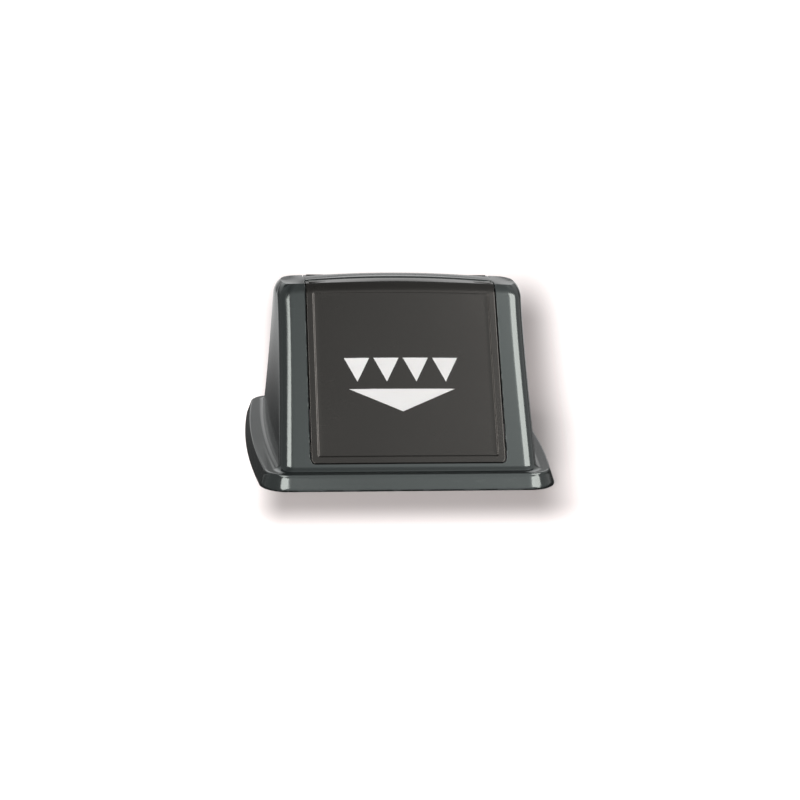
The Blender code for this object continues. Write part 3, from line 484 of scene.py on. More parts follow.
# %% Flap skin
FLAP_PLATE, RIM_WALL = 4 * MM, 3 * MM
PANEL_INSET, PANEL_DEPTH, EDGE_ROUND, MIDDLE_INSET = 13 * MM, 1.5 * MM, 1.4 * MM, 12 * MM
PANEL_BELOW_BROW = 20 * MM
PANEL_TOP = FLAP_LENGTH - (FACE_LENGTH - PANEL_BELOW_BROW - DOORWAY_SILL - FLAP_GAP)
LOW_CORNER, TOP_CORNER, PANEL_CORNER = 8.2 * MM, 1.4 * MM, 4 * MM
# In from the edge, depth, lower and upper corner radius: the pocket, its fillet, the rim and its foot.
BACK_STEPS = np.array([(12, 4, 0, 0), (4.4, 4, 3, 1), (3.3, 4.3, 4.5, 1), (3, 5.2, 5.2, 1),
                       (3, 11.6, 5.2, 1), (2.6, 12, 5.6, 1), (0.4, 12, 7.8, 1), (0, 11.6, 8.2, 1)]) * MM
# Past the panel's outline, and depth: a step with a round shoulder and a round foot.
PANEL_STEPS = np.array([(-0.1, 0.1), (0.4, 0.3), (0.9, 0.65), (1.4, 1.0), (1.9, 1.3), (2.4, 1.45),
                        (3, 1.5)]) * MM


def quarter_turn(steps=5):
    """(1 - cos, 1 - sin) of a quarter turn: a rounded edge of radius one, from its side to its top."""
    turn = np.linspace(0, np.pi / 2, steps)
    return 1 - np.cos(turn), 1 - np.sin(turn)


def flap_section():
    """Columns of (side inset, top inset, depth, lower corner radius, upper corner radius).

    Across the border, insets and radii go along straight lines from the edge's to the panel's.
    """
    rows = [(inset, inset, depth, low, high) for inset, depth, low, high in BACK_STEPS]
    for o, d in EDGE_ROUND * np.stack(quarter_turn(), -1):
        rows.append((o, o, d, LOW_CORNER - o, TOP_CORNER))
    edge = np.array([EDGE_ROUND, EDGE_ROUND, 0, LOW_CORNER - EDGE_ROUND, TOP_CORNER])
    panel = np.array([PANEL_INSET, PANEL_TOP, 0, PANEL_CORNER, PANEL_CORNER])
    rows += [edge + t * (panel - edge) for t in np.linspace(0, 0.9, 20)[1:]]
    rows += [panel + (o, o, d, -o, -o) for o, d in PANEL_STEPS]
    rows.append((PANEL_INSET + MIDDLE_INSET, PANEL_TOP + MIDDLE_INSET, PANEL_DEPTH, 0, 0))
    return np.array(rows).T


side_inset, top_inset, flap_depth, low_round, high_round = flap_section()
flap_low = np.stack([side_inset - FLAP_HALF, side_inset], -1)
flap_high = np.stack([FLAP_HALF - side_inset, FLAP_LENGTH - top_inset], -1)
FLAP_CUTS_X = np.linspace(0, 1, 57)
FLAP_CUTS_UP = np.concatenate([np.linspace(0, 0.84, 24), np.linspace(0.84, 1, 26)[1:]])
flap_skin = ringed_plate("front_flap_skin", flap_low, flap_high, low_round, high_round, flap_depth, on_flap,
                         FLAP_CUTS_X, FLAP_CUTS_UP)


# %% [markdown]
# ## Behind the flap
# The back of the tray is stiffened by two ribs. Three lugs at its top hold the rod, and a tab at each
# side comes to rest on a rubber pad behind the hood's stile. Each is an outline in Y and Z that is
# pushed along X, and Bevel rounds its edges.

# %% Ribs, lugs and tabs
def pushed(name, outline, x_low, x_high, round_edges, follow=False):
    """A closed outline of (y, z) points pushed from x_low to x_high, with its edges rounded."""
    y, z = np.asarray(outline).T
    ends = [np.stack([np.full_like(y, x), y, z], -1) for x in (x_low, x_high)]
    points = np.stack([crowned(end) for end in ends] if follow else ends)
    count = len(y)
    caps = [np.arange(count)[::-1].tolist(), (np.arange(count) + count).tolist()]
    piece = make_mesh(name, points, [grid_faces(2, count, closed=True), caps])
    soften(piece, round_edges, 2, 40)
    return piece


def face_point(along, depth=0.0):
    """(y, z) at a distance up the slope from the foot of the face, and a depth behind it."""
    foot = np.array([-FACE_FOOT_Y, FACE_FOOT_Z])
    return foot + along * UP_SLOPE - depth * FACE_NORMAL[1:]


def joined(name, pieces):
    """One mesh from several, with their modifiers' results inside it."""
    work = bmesh.new()
    graph = bpy.context.evaluated_depsgraph_get()
    for piece in pieces:
        part = bpy.data.meshes.new_from_object(piece.evaluated_get(graph))
        work.from_mesh(part)
        bpy.data.objects.remove(piece)
    mesh = bpy.data.meshes.new(name)
    work.to_mesh(mesh)
    work.free()
    mesh.shade_smooth()
    mesh.set_sharp_from_angle(angle=np.radians(40))
    whole = bpy.data.objects.new(name, mesh)
    bpy.context.scene.collection.objects.link(whole)
    return whole


# %% Outlines of the ribs, lugs and tabs
RIB_HALF, RIB_ROOT, RIB_CREST, RIB_END = 1.2 * MM, 3 * MM, 11 * MM, 2 * MM
EYE_RADIUS, LUG_LENGTH, LUG_INSET, LUG_TOP, LUG_FOOT = 7.5 * MM, 34 * MM, 6 * MM, 11 * MM, 41 * MM
PAD_LOW, PAD_LENGTH, PAD_WIDTH, PAD_THICKNESS = 40 * MM, 26 * MM, 11 * MM, 3 * MM
TAB_THICKNESS = 3 * MM


def behind_skin(depth, start, end, count):
    """(y, z) points at one depth below the flap's skin, evenly spaced from start to end up it."""
    return on_flap(0, np.linspace(start, end, count), depth)[:, 1:]


rib_length = FLAP_LENGTH - PANEL_TOP
rib = [*behind_skin(RIB_ROOT, RIB_END, rib_length - 4 * MM, 9),
       *behind_skin(RIB_CREST, rib_length - 10 * MM, RIB_END, 9)]
angle = np.radians(np.linspace(-100, 100, 25))
lug = [*np.stack([EYE_RADIUS * np.cos(angle) - AXIS_Y, EYE_RADIUS * np.sin(angle) + AXIS_Z], -1),
       *behind_skin(RIB_ROOT, FLAP_LENGTH - LUG_TOP, FLAP_LENGTH - LUG_FOOT, 12)]
tab_front = WALL + FIT + PAD_THICKNESS + FIT
tab_back = tab_front + TAB_THICKNESS
tab = [face_point(PAD_LOW, tab_front), face_point(PAD_LOW + PAD_LENGTH, tab_front),
       face_point(PAD_LOW + PAD_LENGTH, tab_back), face_point(PAD_LOW, tab_back)]

# %% Push them along X
LUG_STARTS = (LUG_INSET - FLAP_HALF, -LUG_LENGTH / 2, FLAP_HALF - LUG_INSET - LUG_LENGTH)
backs = [pushed(f"rib_{k}", rib, x - RIB_HALF, x + RIB_HALF, 0.5 * MM)
         for k, x in enumerate((-FLAP_HALF / 2, FLAP_HALF / 2))]
backs += [pushed(f"lug_{k}", lug, x, x + LUG_LENGTH, 0.6 * MM) for k, x in enumerate(LUG_STARTS)]
tab_near_x, tab_far_x = FLAP_HALF - RIM_WALL / 2, DOORWAY_HALF + PAD_WIDTH + SINK
for k, (low_x, high_x) in enumerate(((-tab_far_x, -tab_near_x), (tab_near_x, tab_far_x))):
    backs.append(pushed(f"tab_{k}", tab, low_x, high_x, 0.6 * MM, follow=True))
flap_back = joined("front_flap_back", backs)
print("lugs, ribs and tabs:", len(backs))


# %% [markdown]
# ## Ridge cover
# A thin strip covers the roof bridge between the two flaps. It is the same kind of plate, laid on the
# crowned ridge and raised by its own thickness.

# %% Ridge cover
COVER_HALF, COVER_THICKNESS = 17.5 * MM, 1.5 * MM


def on_ridge(x, y, depth):
    """A point over the ridge at (x, y), measured down from the cover's top."""
    flat = np.stack([x, y, ridge_z(y)], -1)
    point = crowned(flat)
    point[..., 2] += FIT + COVER_THICKNESS - depth
    return point


COVER_ROUND, COVER_CORNER, COVER_MIDDLE = 0.7 * MM, 2.4 * MM, 6 * MM
out, down = COVER_ROUND * np.stack(quarter_turn(4))
cover_inset = np.concatenate([[COVER_MIDDLE, 0.4 * MM, 0.1 * MM, 0], out, [COVER_MIDDLE]])
cover_foot = COVER_THICKNESS - np.array([0, 0, 0.15, 0.4]) * MM
cover_depth = np.concatenate([cover_foot, down, [0]])
cover_round = np.clip(COVER_CORNER - cover_inset, 0, None)
cover_low = np.stack([cover_inset - FLAP_HALF, cover_inset - COVER_HALF], -1)
cover = ringed_plate("ridge_cover_strip", cover_low, -cover_low, cover_round, cover_round, cover_depth,
                     on_ridge, np.linspace(0, 1, 49), np.linspace(0, 1, 9))


# %% [markdown]
# ## Rods, bushes, caps and screws
# Each rod is a plain steel bar with chamfered ends. It turns in flanged bushes of pale acetal, and a
# pressed cap at each end keeps it from sliding out. The screws have pan heads with a cross recess,
# which is a dip in the head's height that depends on the distance from two crossed lines.

# %% Rods, bushes and caps
ROD_HALF, ROD_CHAMFER = BLOCK_OUT + 4 * MM, 0.6 * MM
BUSH_RADIUS, BUSH_COLLAR, COLLAR = 5 * MM, 6.5 * MM, 1.5 * MM
CAP_RADIUS, CAP_CROWN, CAP_HEIGHT = 6 * MM, 4.8 * MM, 1.6 * MM
rod_length, rod_tip, bore = 2 * ROD_HALF, ROD_RADIUS - ROD_CHAMFER, ROD_RADIUS + FIT
rod_line = [(0, 0), (0, rod_tip), (ROD_CHAMFER, ROD_RADIUS), (rod_length - ROD_CHAMFER, ROD_RADIUS),
            (rod_length, rod_tip), (rod_length, 0)]
rod = turned("front_rod", round_corners(rod_line, 0.2 * MM), (-ROD_HALF, -AXIS_Y, AXIS_Z))
bush_end = COLLAR + BLOCK_THICKNESS + FIT
bush_line = [(0, bore), (0, BUSH_COLLAR), (COLLAR, BUSH_COLLAR), (COLLAR, BUSH_RADIUS),
             (bush_end, BUSH_RADIUS), (bush_end, bore), (0, bore)]
cap_line = [(0, bore), (0, CAP_RADIUS), (0.5 * MM, CAP_RADIUS), (CAP_HEIGHT, CAP_CROWN), (CAP_HEIGHT, 4 * MM),
            (1.1 * MM, bore), (0, bore)]


def axle_piece(kind, line, edge, start_x, hand):
    """A profile turned about the front axle, from start_x on one side outwards."""
    side = "left" if hand < 0 else "right"
    start = (hand * start_x, -AXIS_Y, AXIS_Z)
    return turned(f"front_{side}_{kind}", round_corners(line, edge), start, (hand, 0, 0))


bushes = [axle_piece("bush", bush_line, 0.35 * MM, BLOCK_X - FIT - COLLAR, hand) for hand in (-1, 1)]
caps = [axle_piece("cap", cap_line, 0.3 * MM, BLOCK_OUT + FIT, hand) for hand in (-1, 1)]


# %% Screws with a cross recess
def cross_recess(radius, angle):
    """Dip of 1.3 mm where either crossed line is nearer than 0.6 mm, within 2.2 mm of the middle."""
    across = np.minimum(np.abs(radius * np.cos(angle)), np.abs(radius * np.sin(angle)))
    slot = np.clip((0.75 * MM - across) / (0.3 * MM), 0, 1)
    reach = np.clip((2.4 * MM - radius) / (0.4 * MM), 0, 1)
    return 1.3 * MM * slot * reach * (radius < 2.5 * MM)


def pan_screw(name, seat, grip, radius, head_radius, head=2.6 * MM):
    """Head below the seat, shank above it: one profile from the head's middle to the shank's tip."""
    dome = np.linspace(0, 1, 12)
    crown, edge, tip = 0.35 * head, 0.84 * head_radius, head + grip
    top = np.stack([crown * dome**3, edge * dome], -1)
    rest = round_corners([(crown, edge), (0.6 * head, head_radius), (head, head_radius), (head, radius),
                          (tip - 1 * MM, radius), (tip, radius * 0.6), (tip, 0)], 0.4 * MM)
    profile = np.concatenate([top, rest[1:]])

    def recess(r, a):
        return cross_recess(r, a) * (np.arange(len(profile)) < len(top))[:, None]

    start = np.asarray(seat) - np.array([0, 0, FIT + head])
    return turned(name, profile, start, (0, 0, 1), sides=64, relief=recess)


COVER_SCREW_X = 90 * MM
screws = {}
for x, side in ((-BLOCK_MIDDLE, "left"), (BLOCK_MIDDLE, "right")):
    for y, end in ((-SCREW_Y, "front"), (SCREW_Y, "rear")):
        node, seat = f"block_screw_{side}_{end}", (x, y, BLOCK_LOW)
        screws[node] = pan_screw(node + "_turned", seat, EAR_HEIGHT + SCREW_GRIP, SCREW_RADIUS, 4 * MM)
for number, x in enumerate((-COVER_SCREW_X, 0, COVER_SCREW_X), 1):
    roof = crowned(np.array([x, 0, HOOD_HEIGHT]))[2] - WALL
    node = f"cover_screw_{number}"
    screws[node] = pan_screw(node + "_turned", (x, 0, roof), WALL, 1.6 * MM, 5.5 * MM)

# %% [markdown]
# ## Springs
# A torsion spring of round wire closes each flap: a straight leg against the roof, six turns round
# the rod, and a leg against the flap's back. The wire is a circle carried along that path.

# %% Springs
SPRING_TURNS, SPRING_PITCH, SPRING_RADIUS, WIRE = 6, 4.2 * MM, 6.5 * MM, 1 * MM
SPRING_REACH, SPRING_LEFTS = 36 * MM, (45 * MM - FLAP_HALF, FLAP_HALF - 75 * MM)


def tangent_angle(y, z, hand):
    """atan2(z, y) plus or minus acos(coil radius / distance): where a straight leg leaves the coil."""
    return np.arctan2(z, y) + hand * np.arccos(SPRING_RADIUS / np.hypot(y, z))


def spring_wire(left):
    """Leg under the roof, coil round the axis with the pitch along X, leg down the flap's back."""
    end = left + SPRING_TURNS * SPRING_PITCH
    head = np.array([AXIS_Y / 2, crowned(np.array([left, 0, HOOD_HEIGHT]))[2] - WALL - FIT - WIRE])
    along = (AXIS_Z - SPRING_REACH - FACE_FOOT_Z) / UP_SLOPE[1]
    tail = crowned(np.array([end, *face_point(along, FLAP_PLATE + FIT + WIRE)]))[1:]
    start = tangent_angle(head[0] + AXIS_Y, head[1] - AXIS_Z, -1)
    finish = tangent_angle(tail[0] + AXIS_Y, tail[1] - AXIS_Z, 1)
    sweep = 2 * np.pi * SPRING_TURNS + (finish - start) % (2 * np.pi)
    t = np.linspace(0, 1, 36 * SPRING_TURNS + 1)
    coil = np.stack([left + (end - left) * t, SPRING_RADIUS * np.cos(start + sweep * t) - AXIS_Y,
                     SPRING_RADIUS * np.sin(start + sweep * t) + AXIS_Z], -1)
    return np.concatenate([[[left, *head]], coil, [[end, *tail]]])


def wire_tube(name, path, radius, sides=10):
    """Circles square to the path: centre + radius * (cos a * n + sin a * b), b as near to X as can be."""
    tangent = np.gradient(path, axis=0)
    tangent /= np.linalg.norm(tangent, axis=1)[:, None]
    b = np.array([1.0, 0, 0]) - tangent[:, :1] * tangent
    b /= np.linalg.norm(b, axis=1)[:, None]
    n = np.cross(b, tangent)
    angle = (np.arange(sides) * 2 * np.pi / sides)[None, :, None]
    rings = path[:, None] + radius * (np.cos(angle) * n[:, None] + np.sin(angle) * b[:, None])
    count = len(path)
    ends = [np.arange(sides)[::-1].tolist(), (np.arange(sides) + (count - 1) * sides).tolist()]
    return make_mesh(name, rings, [grid_faces(count, sides, closed=True), ends])


springs = [wire_tube(f"front_{side}_spring", spring_wire(left), WIRE)
           for side, left in zip(("left", "right"), SPRING_LEFTS)]


# %% [markdown]
# ## The marks on the flap
# A plain row of small triangles over a wide one, printed in white, shows which way the flap gives.
# Each is a grid whose rows get shorter towards the tip, laid on the sunk panel as a thin film. The
# marks hold no lettering, so anyone who reuses the part can add wording of their own.

# %% Triangles
PRINT_THICKNESS, MARKS_X = 0.25 * MM, -7 * MM
TRIANGLE_UP, TRIANGLE_HALF, TRIANGLE_DROP = 153.5 * MM, 105 * MM, 47 * MM
MARK_COUNT, MARK_PITCH = 4, 58.5 * MM
MARK_UP, MARK_HALF, MARK_DROP = 219 * MM, 25 * MM, 50 * MM


def pointer(x, up, half, drop, rows, columns):
    """(x, up) grid of a triangle that points down: half width half * (1 - t), at up - drop * t."""
    t = np.linspace(1, 0, rows)[:, None]
    across = np.linspace(-1, 1, columns)[None]
    return np.stack([x + half * (1 - t) * across, up - drop * (t + 0 * across)], -1)


def printed(name, grids):
    """A film on the panel: each grid of (x, up) points is laid on the flap just above the panel."""
    points, faces, used = [], [], 0
    for grid in grids:
        rows, columns = grid.shape[:2]
        points.append(on_flap(grid[..., 0], grid[..., 1], PANEL_DEPTH - PRINT_THICKNESS).reshape(-1, 3))
        faces.append(grid_faces(rows, columns) + used)
        used += rows * columns
    film = make_mesh(name, np.concatenate(points), faces)
    film.data.shade_flat()
    give_wall(film, PRINT_THICKNESS)
    return film


mark_places = MARKS_X + MARK_PITCH * (np.arange(MARK_COUNT) - (MARK_COUNT - 1) / 2)
marks = [pointer(x, MARK_UP, MARK_HALF, MARK_DROP, 13, 13) for x in mark_places]
marks.append(pointer(MARKS_X, TRIANGLE_UP, TRIANGLE_HALF, TRIANGLE_DROP, 21, 31))
marks_film = printed("press_marks", marks)

# %% [markdown]
# ## The rear half
# The rear flap and everything it hangs on is the front's, turned half round about the upright axis.
# A turn, unlike a mirror, keeps the faces pointing outwards. Left and right change places.

# %% Turn the front pieces round
def turned_half(piece, name):
    """(x, y, z) becomes (-x, -y, z) in a copy of the mesh; the modifiers come along."""
    twin = piece.copy()
    twin.name, twin.data = name, piece.data.copy()
    twin.data.transform(Matrix.Rotation(np.pi, 4, "Z"))
    bpy.context.scene.collection.objects.link(twin)
    return twin


front = {"flap_skin": flap_skin, "flap_back": flap_back, "press_marks": marks_film, "rod": rod}
for kind, pair in (("bush", bushes), ("cap", caps), ("spring", springs)):
    front |= {f"left_{kind}": pair[0], f"right_{kind}": pair[1]}
SWAPPED = {"left": "right", "right": "left"}
rear = {}
for key, piece in front.items():
    side, _, kind = key.partition("_")
    twin_key = f"{SWAPPED[side]}_{kind}" if side in SWAPPED else key
    rear[twin_key] = turned_half(piece, f"rear_{twin_key}")
print("rear pieces:", len(rear))

# %% [markdown]
# ## Shared effects for the materials
# Three effects come back in several finishes, so each is a node group. Grain is the fine texture of
# the mould, with slow waves from shrinkage under it. Handling is a scatter of faint rubbed streaks.
# Worn edges are found where the surface turns sharply outwards. The groups give only heights and
# masks, and each material decides what to do with them.

# %% Helpers for nodes
def add_node(tree, kind, inputs=None, **settings):
    """Add a node, set its own settings, and give each named input a value or a link."""
    made = tree.nodes.new(kind)
    for key, value in settings.items():
        setattr(made, key, value)
    for key, value in (inputs or {}).items():
        if isinstance(value, bpy.types.NodeSocket):
            tree.links.new(value, made.inputs[key])
        else:
            made.inputs[key].default_value = value
    return made


def maths(tree, operation, *values):
    """The result of one Math node: the operation on the values in their order."""
    return add_node(tree, "ShaderNodeMath", dict(enumerate(values)), operation=operation).outputs[0]


def noise(tree, place, scale, detail):
    """Noise between 0 and 1 at a place, about scale cells to the metre."""
    inputs = {"Vector": place, "Scale": scale, "Detail": detail}
    return add_node(tree, "ShaderNodeTexNoise", inputs).outputs["Fac"]


def between(tree, value, start, end, low=0.0, high=1.0, kind="LINEAR"):
    """low at start and high at end, with a straight line or a smooth step from one to the other."""
    inputs = {"Value": value, "From Min": start, "From Max": end, "To Min": low, "To Max": high}
    return add_node(tree, "ShaderNodeMapRange", inputs, interpolation_type=kind).outputs["Result"]


def mixed(tree, factor, a, b, kind="FLOAT"):
    """a where the factor is 0, b where it is 1."""
    inputs = {"Factor": factor, "A": a, "B": b}
    return add_node(tree, "ShaderNodeMix", inputs, data_type=kind).outputs["Result"]


def new_group(name, numbers, outputs):
    """An empty shader group: a Position and named numbers with their defaults go in, numbers come out."""
    tree = bpy.data.node_groups.new(name, "ShaderNodeTree")
    tree.interface.new_socket(name="Position", in_out="INPUT", socket_type="NodeSocketVector")
    for label, default in numbers.items():
        socket = tree.interface.new_socket(name=label, in_out="INPUT", socket_type="NodeSocketFloat")
        socket.default_value = default
    for label in outputs:
        tree.interface.new_socket(name=label, in_out="OUTPUT", socket_type="NodeSocketFloat")
    return tree, tree.nodes.new("NodeGroupInput").outputs, tree.nodes.new("NodeGroupOutput").inputs


# %% Grain of the mould
def build_grain():
    """Height = fine noise * Grain + slow noise * Waves; Tone is a soft blotch between 0 and 1."""
    numbers = {"Grain size": 0.0012, "Grain": 0.1, "Waves": 0.6}
    tree, given, result = new_group("moulded grain", numbers, ["Height", "Tone"])
    place = given["Position"]
    fine = noise(tree, place, maths(tree, "DIVIDE", 1.0, given["Grain size"]), 2.0)
    slow, blotch = noise(tree, place, 14.0, 1.0), noise(tree, place, 7.0, 4.0)
    grain = maths(tree, "MULTIPLY", fine, given["Grain"])
    tree.links.new(maths(tree, "MULTIPLY_ADD", slow, given["Waves"], grain), result["Height"])
    tree.links.new(between(tree, blotch, 0.3, 0.7), result["Tone"])
    return tree


# %% Rubbed streaks and worn edges
def build_mask(name, masks):
    """Mask = first * second * Amount, where masks(tree, position) gives the first and the second."""
    tree, given, result = new_group(name, {"Amount": 0.5}, ["Mask"])
    both = maths(tree, "MULTIPLY", *masks(tree, given["Position"]))
    tree.links.new(maths(tree, "MULTIPLY", both, given["Amount"]), result["Mask"])
    return tree


def rubbed_streaks(tree, place):
    """Noise drawn out along one axis and cut off below a level, in patches."""
    drawn_out = add_node(tree, "ShaderNodeMapping", {"Vector": place, "Rotation": (0.5, 0.3, 0.9),
                                                     "Scale": (30.0, 400.0, 120.0)}).outputs[0]
    return (between(tree, noise(tree, drawn_out, 1.0, 2.0), 0.62, 0.75),
            between(tree, noise(tree, place, 9.0, 2.0), 0.5, 0.7))


def sharp_edges(tree, place):
    """High where pointiness passes a level, broken up by noise."""
    pointiness = tree.nodes.new("ShaderNodeNewGeometry").outputs["Pointiness"]
    return between(tree, pointiness, 0.52, 0.6), between(tree, noise(tree, place, 160.0, 3.0), 0.4, 0.6)


GRAIN = build_grain()
HANDLING, EDGES = build_mask("handling marks", rubbed_streaks), build_mask("worn edges", sharp_edges)
print("node groups:", [group.name for group in bpy.data.node_groups])

# %% [markdown]
# ## One recipe for all finishes
# Every finish here is built the same way. Its colour drifts between two near tones, gets paler where
# it is rubbed or worn, and its roughness moves with the same masks. The bump is one grain, which is
# finer on the metals than on the plastics. Only the numbers differ, and they are listed together.

# %% Finish recipe
TONE_ROUGHNESS, WORN_ROUGHNESS = 0.15, 0.2


def finish(name, colour, drift, worn, roughness, grain_size, grain, waves, handling, edges,
           metallic=0.0, ior=1.5, tint=(1, 1, 1)):
    """A Principled material: drift is the second tone, worn the tone of rubbed places and edges.

    Roughness = roughness * (1 + 0.15 * blotch) + 0.2 * worn mask.
    """
    material = bpy.data.materials.new(name)
    material.use_nodes = True
    tree = material.node_tree
    shader = tree.nodes["Principled BSDF"]
    place = tree.nodes.new("ShaderNodeTexCoord").outputs["Object"]

    def effect(group, numbers):
        inputs = {"Position": place, **numbers}
        return add_node(tree, "ShaderNodeGroup", inputs, node_tree=group).outputs

    texture = effect(GRAIN, {"Grain size": grain_size, "Grain": grain, "Waves": waves})
    rubbed = effect(HANDLING, {"Amount": handling})["Mask"]
    sharp = effect(EDGES, {"Amount": edges})["Mask"]
    wear = maths(tree, "MAXIMUM", rubbed, sharp)
    tone = mixed(tree, texture["Tone"], (*colour, 1), (*drift, 1), "RGBA")
    drifted = maths(tree, "MULTIPLY_ADD", texture["Tone"], roughness * TONE_ROUGHNESS, roughness)
    relief = {"Height": texture["Height"], "Strength": 1.0, "Distance": 1 * MM}
    bump = add_node(tree, "ShaderNodeBump", relief)
    tree.links.new(mixed(tree, wear, tone, (*worn, 1), "RGBA"), shader.inputs["Base Color"])
    tree.links.new(maths(tree, "MULTIPLY_ADD", wear, WORN_ROUGHNESS, drifted), shader.inputs["Roughness"])
    tree.links.new(bump.outputs["Normal"], shader.inputs["Normal"])
    shader.inputs["Metallic"].default_value = metallic
    shader.inputs["IOR"].default_value = ior
    shader.inputs["Specular Tint"].default_value = (*tint, 1)
    return material


# %% The finishes
# In order: colour, second tone, worn tone, roughness, grain size in metres, grain, waves, rubbed
# streaks and worn edges.
hood_finish = finish("grey green hood plastic", (0.0165, 0.0197, 0.0197), (0.015, 0.018, 0.018),
                     (0.05, 0.056, 0.055), 0.12, 0.0011, 0.004, 0.10, 0.16, 0.2, tint=(0.9, 1, 0.98))
flap_finish = finish("brown grey flap plastic", (0.0078, 0.0070, 0.0060), (0.0070, 0.0063, 0.0054),
                     (0.03, 0.028, 0.025), 0.15, 0.0009, 0.008, 0.06, 0.1, 0.12, ior=1.36,
                     tint=(0.92, 0.90, 0.86))
cover_finish = finish("ridge cover plastic", (0.015, 0.018, 0.018), (0.0135, 0.0165, 0.0165),
                      (0.05, 0.056, 0.055), 0.15, 0.0011, 0.005, 0.08, 0.35, 0.3, tint=(0.94, 1, 0.98))
print_finish = finish("white print", (0.89, 0.89, 0.885), (0.91, 0.91, 0.9), (0.5, 0.5, 0.49),
                      0.4, 0.0006, 0.01, 0.0, 0.15, 0.1, ior=1.3)
nylon_finish = finish("black nylon", (0.022, 0.022, 0.023), (0.03, 0.03, 0.031), (0.07, 0.07, 0.07),
                      0.42, 0.0007, 0.02, 0.05, 0.4, 0.5)
acetal_finish = finish("natural acetal", (0.72, 0.70, 0.64), (0.66, 0.64, 0.58), (0.5, 0.47, 0.4),
                       0.35, 0.0008, 0.006, 0.02, 0.3, 0.2)
zinc_finish = finish("bright zinc on steel", (0.56, 0.57, 0.58), (0.5, 0.51, 0.53), (0.36, 0.35, 0.34),
                     0.28, 0.0005, 0.008, 0.01, 0.5, 0.5, metallic=1.0)
spring_finish = finish("oiled spring wire", (0.28, 0.28, 0.29), (0.2, 0.2, 0.21), (0.4, 0.4, 0.4),
                       0.33, 0.0004, 0.006, 0.0, 0.4, 0.4, metallic=1.0)
rubber_finish = finish("stop rubber", (0.018, 0.018, 0.018), (0.024, 0.024, 0.024), (0.05, 0.05, 0.05),
                       0.75, 0.0006, 0.03, 0.05, 0.3, 0.5)

# %% [markdown]
# ## Every piece on its body
# Each new piece now gets its finish, rides on the body it belongs to, and stands for the plain node
# it replaces. The nodes whose shape is already right, such as the hinge blocks and the rubber pads,
# stay and only get the finish.

# %% Hand out the finishes
finish_piece(hood, hood_finish, "hood", ["hood_shell"])
for piece in (locating_rib, *roof_bosses):
    finish_piece(piece, hood_finish, "hood")
finish_piece(cover, cover_finish, "hood", ["ridge_cover"])
for node, screw in screws.items():
    finish_piece(screw, zinc_finish, "hood", [node])
for end, pieces in (("front", front), ("rear", rear)):
    body = f"{end}_door"
    finish_piece(pieces["flap_skin"], flap_finish, body, [f"{end}_flap"])
    finish_piece(pieces["flap_back"], flap_finish, body)
    finish_piece(pieces["press_marks"], print_finish, body)
    finish_piece(pieces["rod"], zinc_finish, body, [f"{end}_hinge_rod"])
    for side in ("left", "right"):
        finish_piece(pieces[f"{side}_bush"], acetal_finish, "hood", [f"{end}_bush_{side}"])
        finish_piece(pieces[f"{side}_cap"], zinc_finish, body, [f"{end}_push_nut_{side}"])
KEPT = {}
for side in ("left", "right"):
    KEPT[f"hinge_block_{side}"] = nylon_finish
    KEPT |= {f"{end}_stop_pad_{side}": rubber_finish for end in ("front", "rear")}
for node, material in KEPT.items():
    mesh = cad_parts[node].data
    mesh.materials.clear()
    mesh.materials.append(material)
print("nodes that stay:", sorted(KEPT))

# %% Springs get their finish and stand for their nodes
for end, pieces in (("front", front), ("rear", rear)):
    for side in ("left", "right"):
        coil = pieces[f"{side}_spring"]
        coil.data.materials.append(spring_finish)
        low, high = Vector(coil.bound_box[0]), Vector(coil.bound_box[6])
        ends = [(low.x, 0, AXIS_Z), (high.x, 0, AXIS_Z)]
        start, stop = ends if end == "front" else ends[::-1]
        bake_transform(coil)
        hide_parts(f"{end}_spring_{side}")

# %% [markdown]
# ## Floor
# The hood stands on a plain pale floor. The camera sees it white, through a glow that only camera
# rays meet. Two places are left out of that glow. One is a long soft painted shadow beside and behind the
# hood, shaped as a low flash would leave it. The other is painted shade under the hood. Reflections meet
# a second, plainer glow: a painted reflection with painted shade near the hood, which brightens with
# distance, because dark plastic shows mostly what it mirrors.

# %% Floor
bpy.ops.mesh.primitive_plane_add(size=30, location=(0, 0, -0.0005))
floor = bpy.context.object
floor.name = "studio_floor"
floor_look = bpy.data.materials.new("pale floor")
floor_look.use_nodes = True
tree = floor_look.node_tree
surface = tree.nodes["Principled BSDF"]
surface.inputs["Base Color"].default_value = (0.42, 0.375, 0.37, 1)
surface.inputs["Roughness"].default_value = 0.9
surface.inputs["Emission Color"].default_value = (1, 0.95, 0.94, 1)
place = tree.nodes.new("ShaderNodeTexCoord").outputs["Object"]
rays = tree.nodes.new("ShaderNodeLightPath").outputs

# %% The long painted shadow, for the camera
# Its edges: the direction they face, where they start to fade, and where they end.
PAINTED_SHADOW_EDGES = [((1, -0.165, 0), 0.29, 0.43), ((1, -0.07, 0), -0.22, -0.31), ((0, 1, 0), -0.36, -0.58),
               ((0, 1, 0), 1.1, 2.0)]
# Painted shadow: shade is 1 inside these edges, and there the camera glow falls to 0.08.
shade = 1.0
for facing, start, end in PAINTED_SHADOW_EDGES:
    along = add_node(tree, "ShaderNodeVectorMath", {0: place, 1: facing}, operation="DOT_PRODUCT")
    inside = between(tree, along.outputs["Value"], start, end, 1.0, 0.0, "SMOOTHSTEP")
    shade = maths(tree, "MULTIPLY", shade, inside)
distance = add_node(tree, "ShaderNodeVectorMath", {0: place}, operation="LENGTH").outputs["Value"]
glow = maths(tree, "MULTIPLY", between(tree, shade, 0.0, 1.0, 1.0, 0.08), rays["Is Camera Ray"])
# Painted shade under the hood: the camera glow is left out within 0.2 m of the middle.
glow = maths(tree, "MULTIPLY", glow, between(tree, distance, 0.2, 0.3))
tree.links.new(glow, surface.inputs["Emission Strength"])
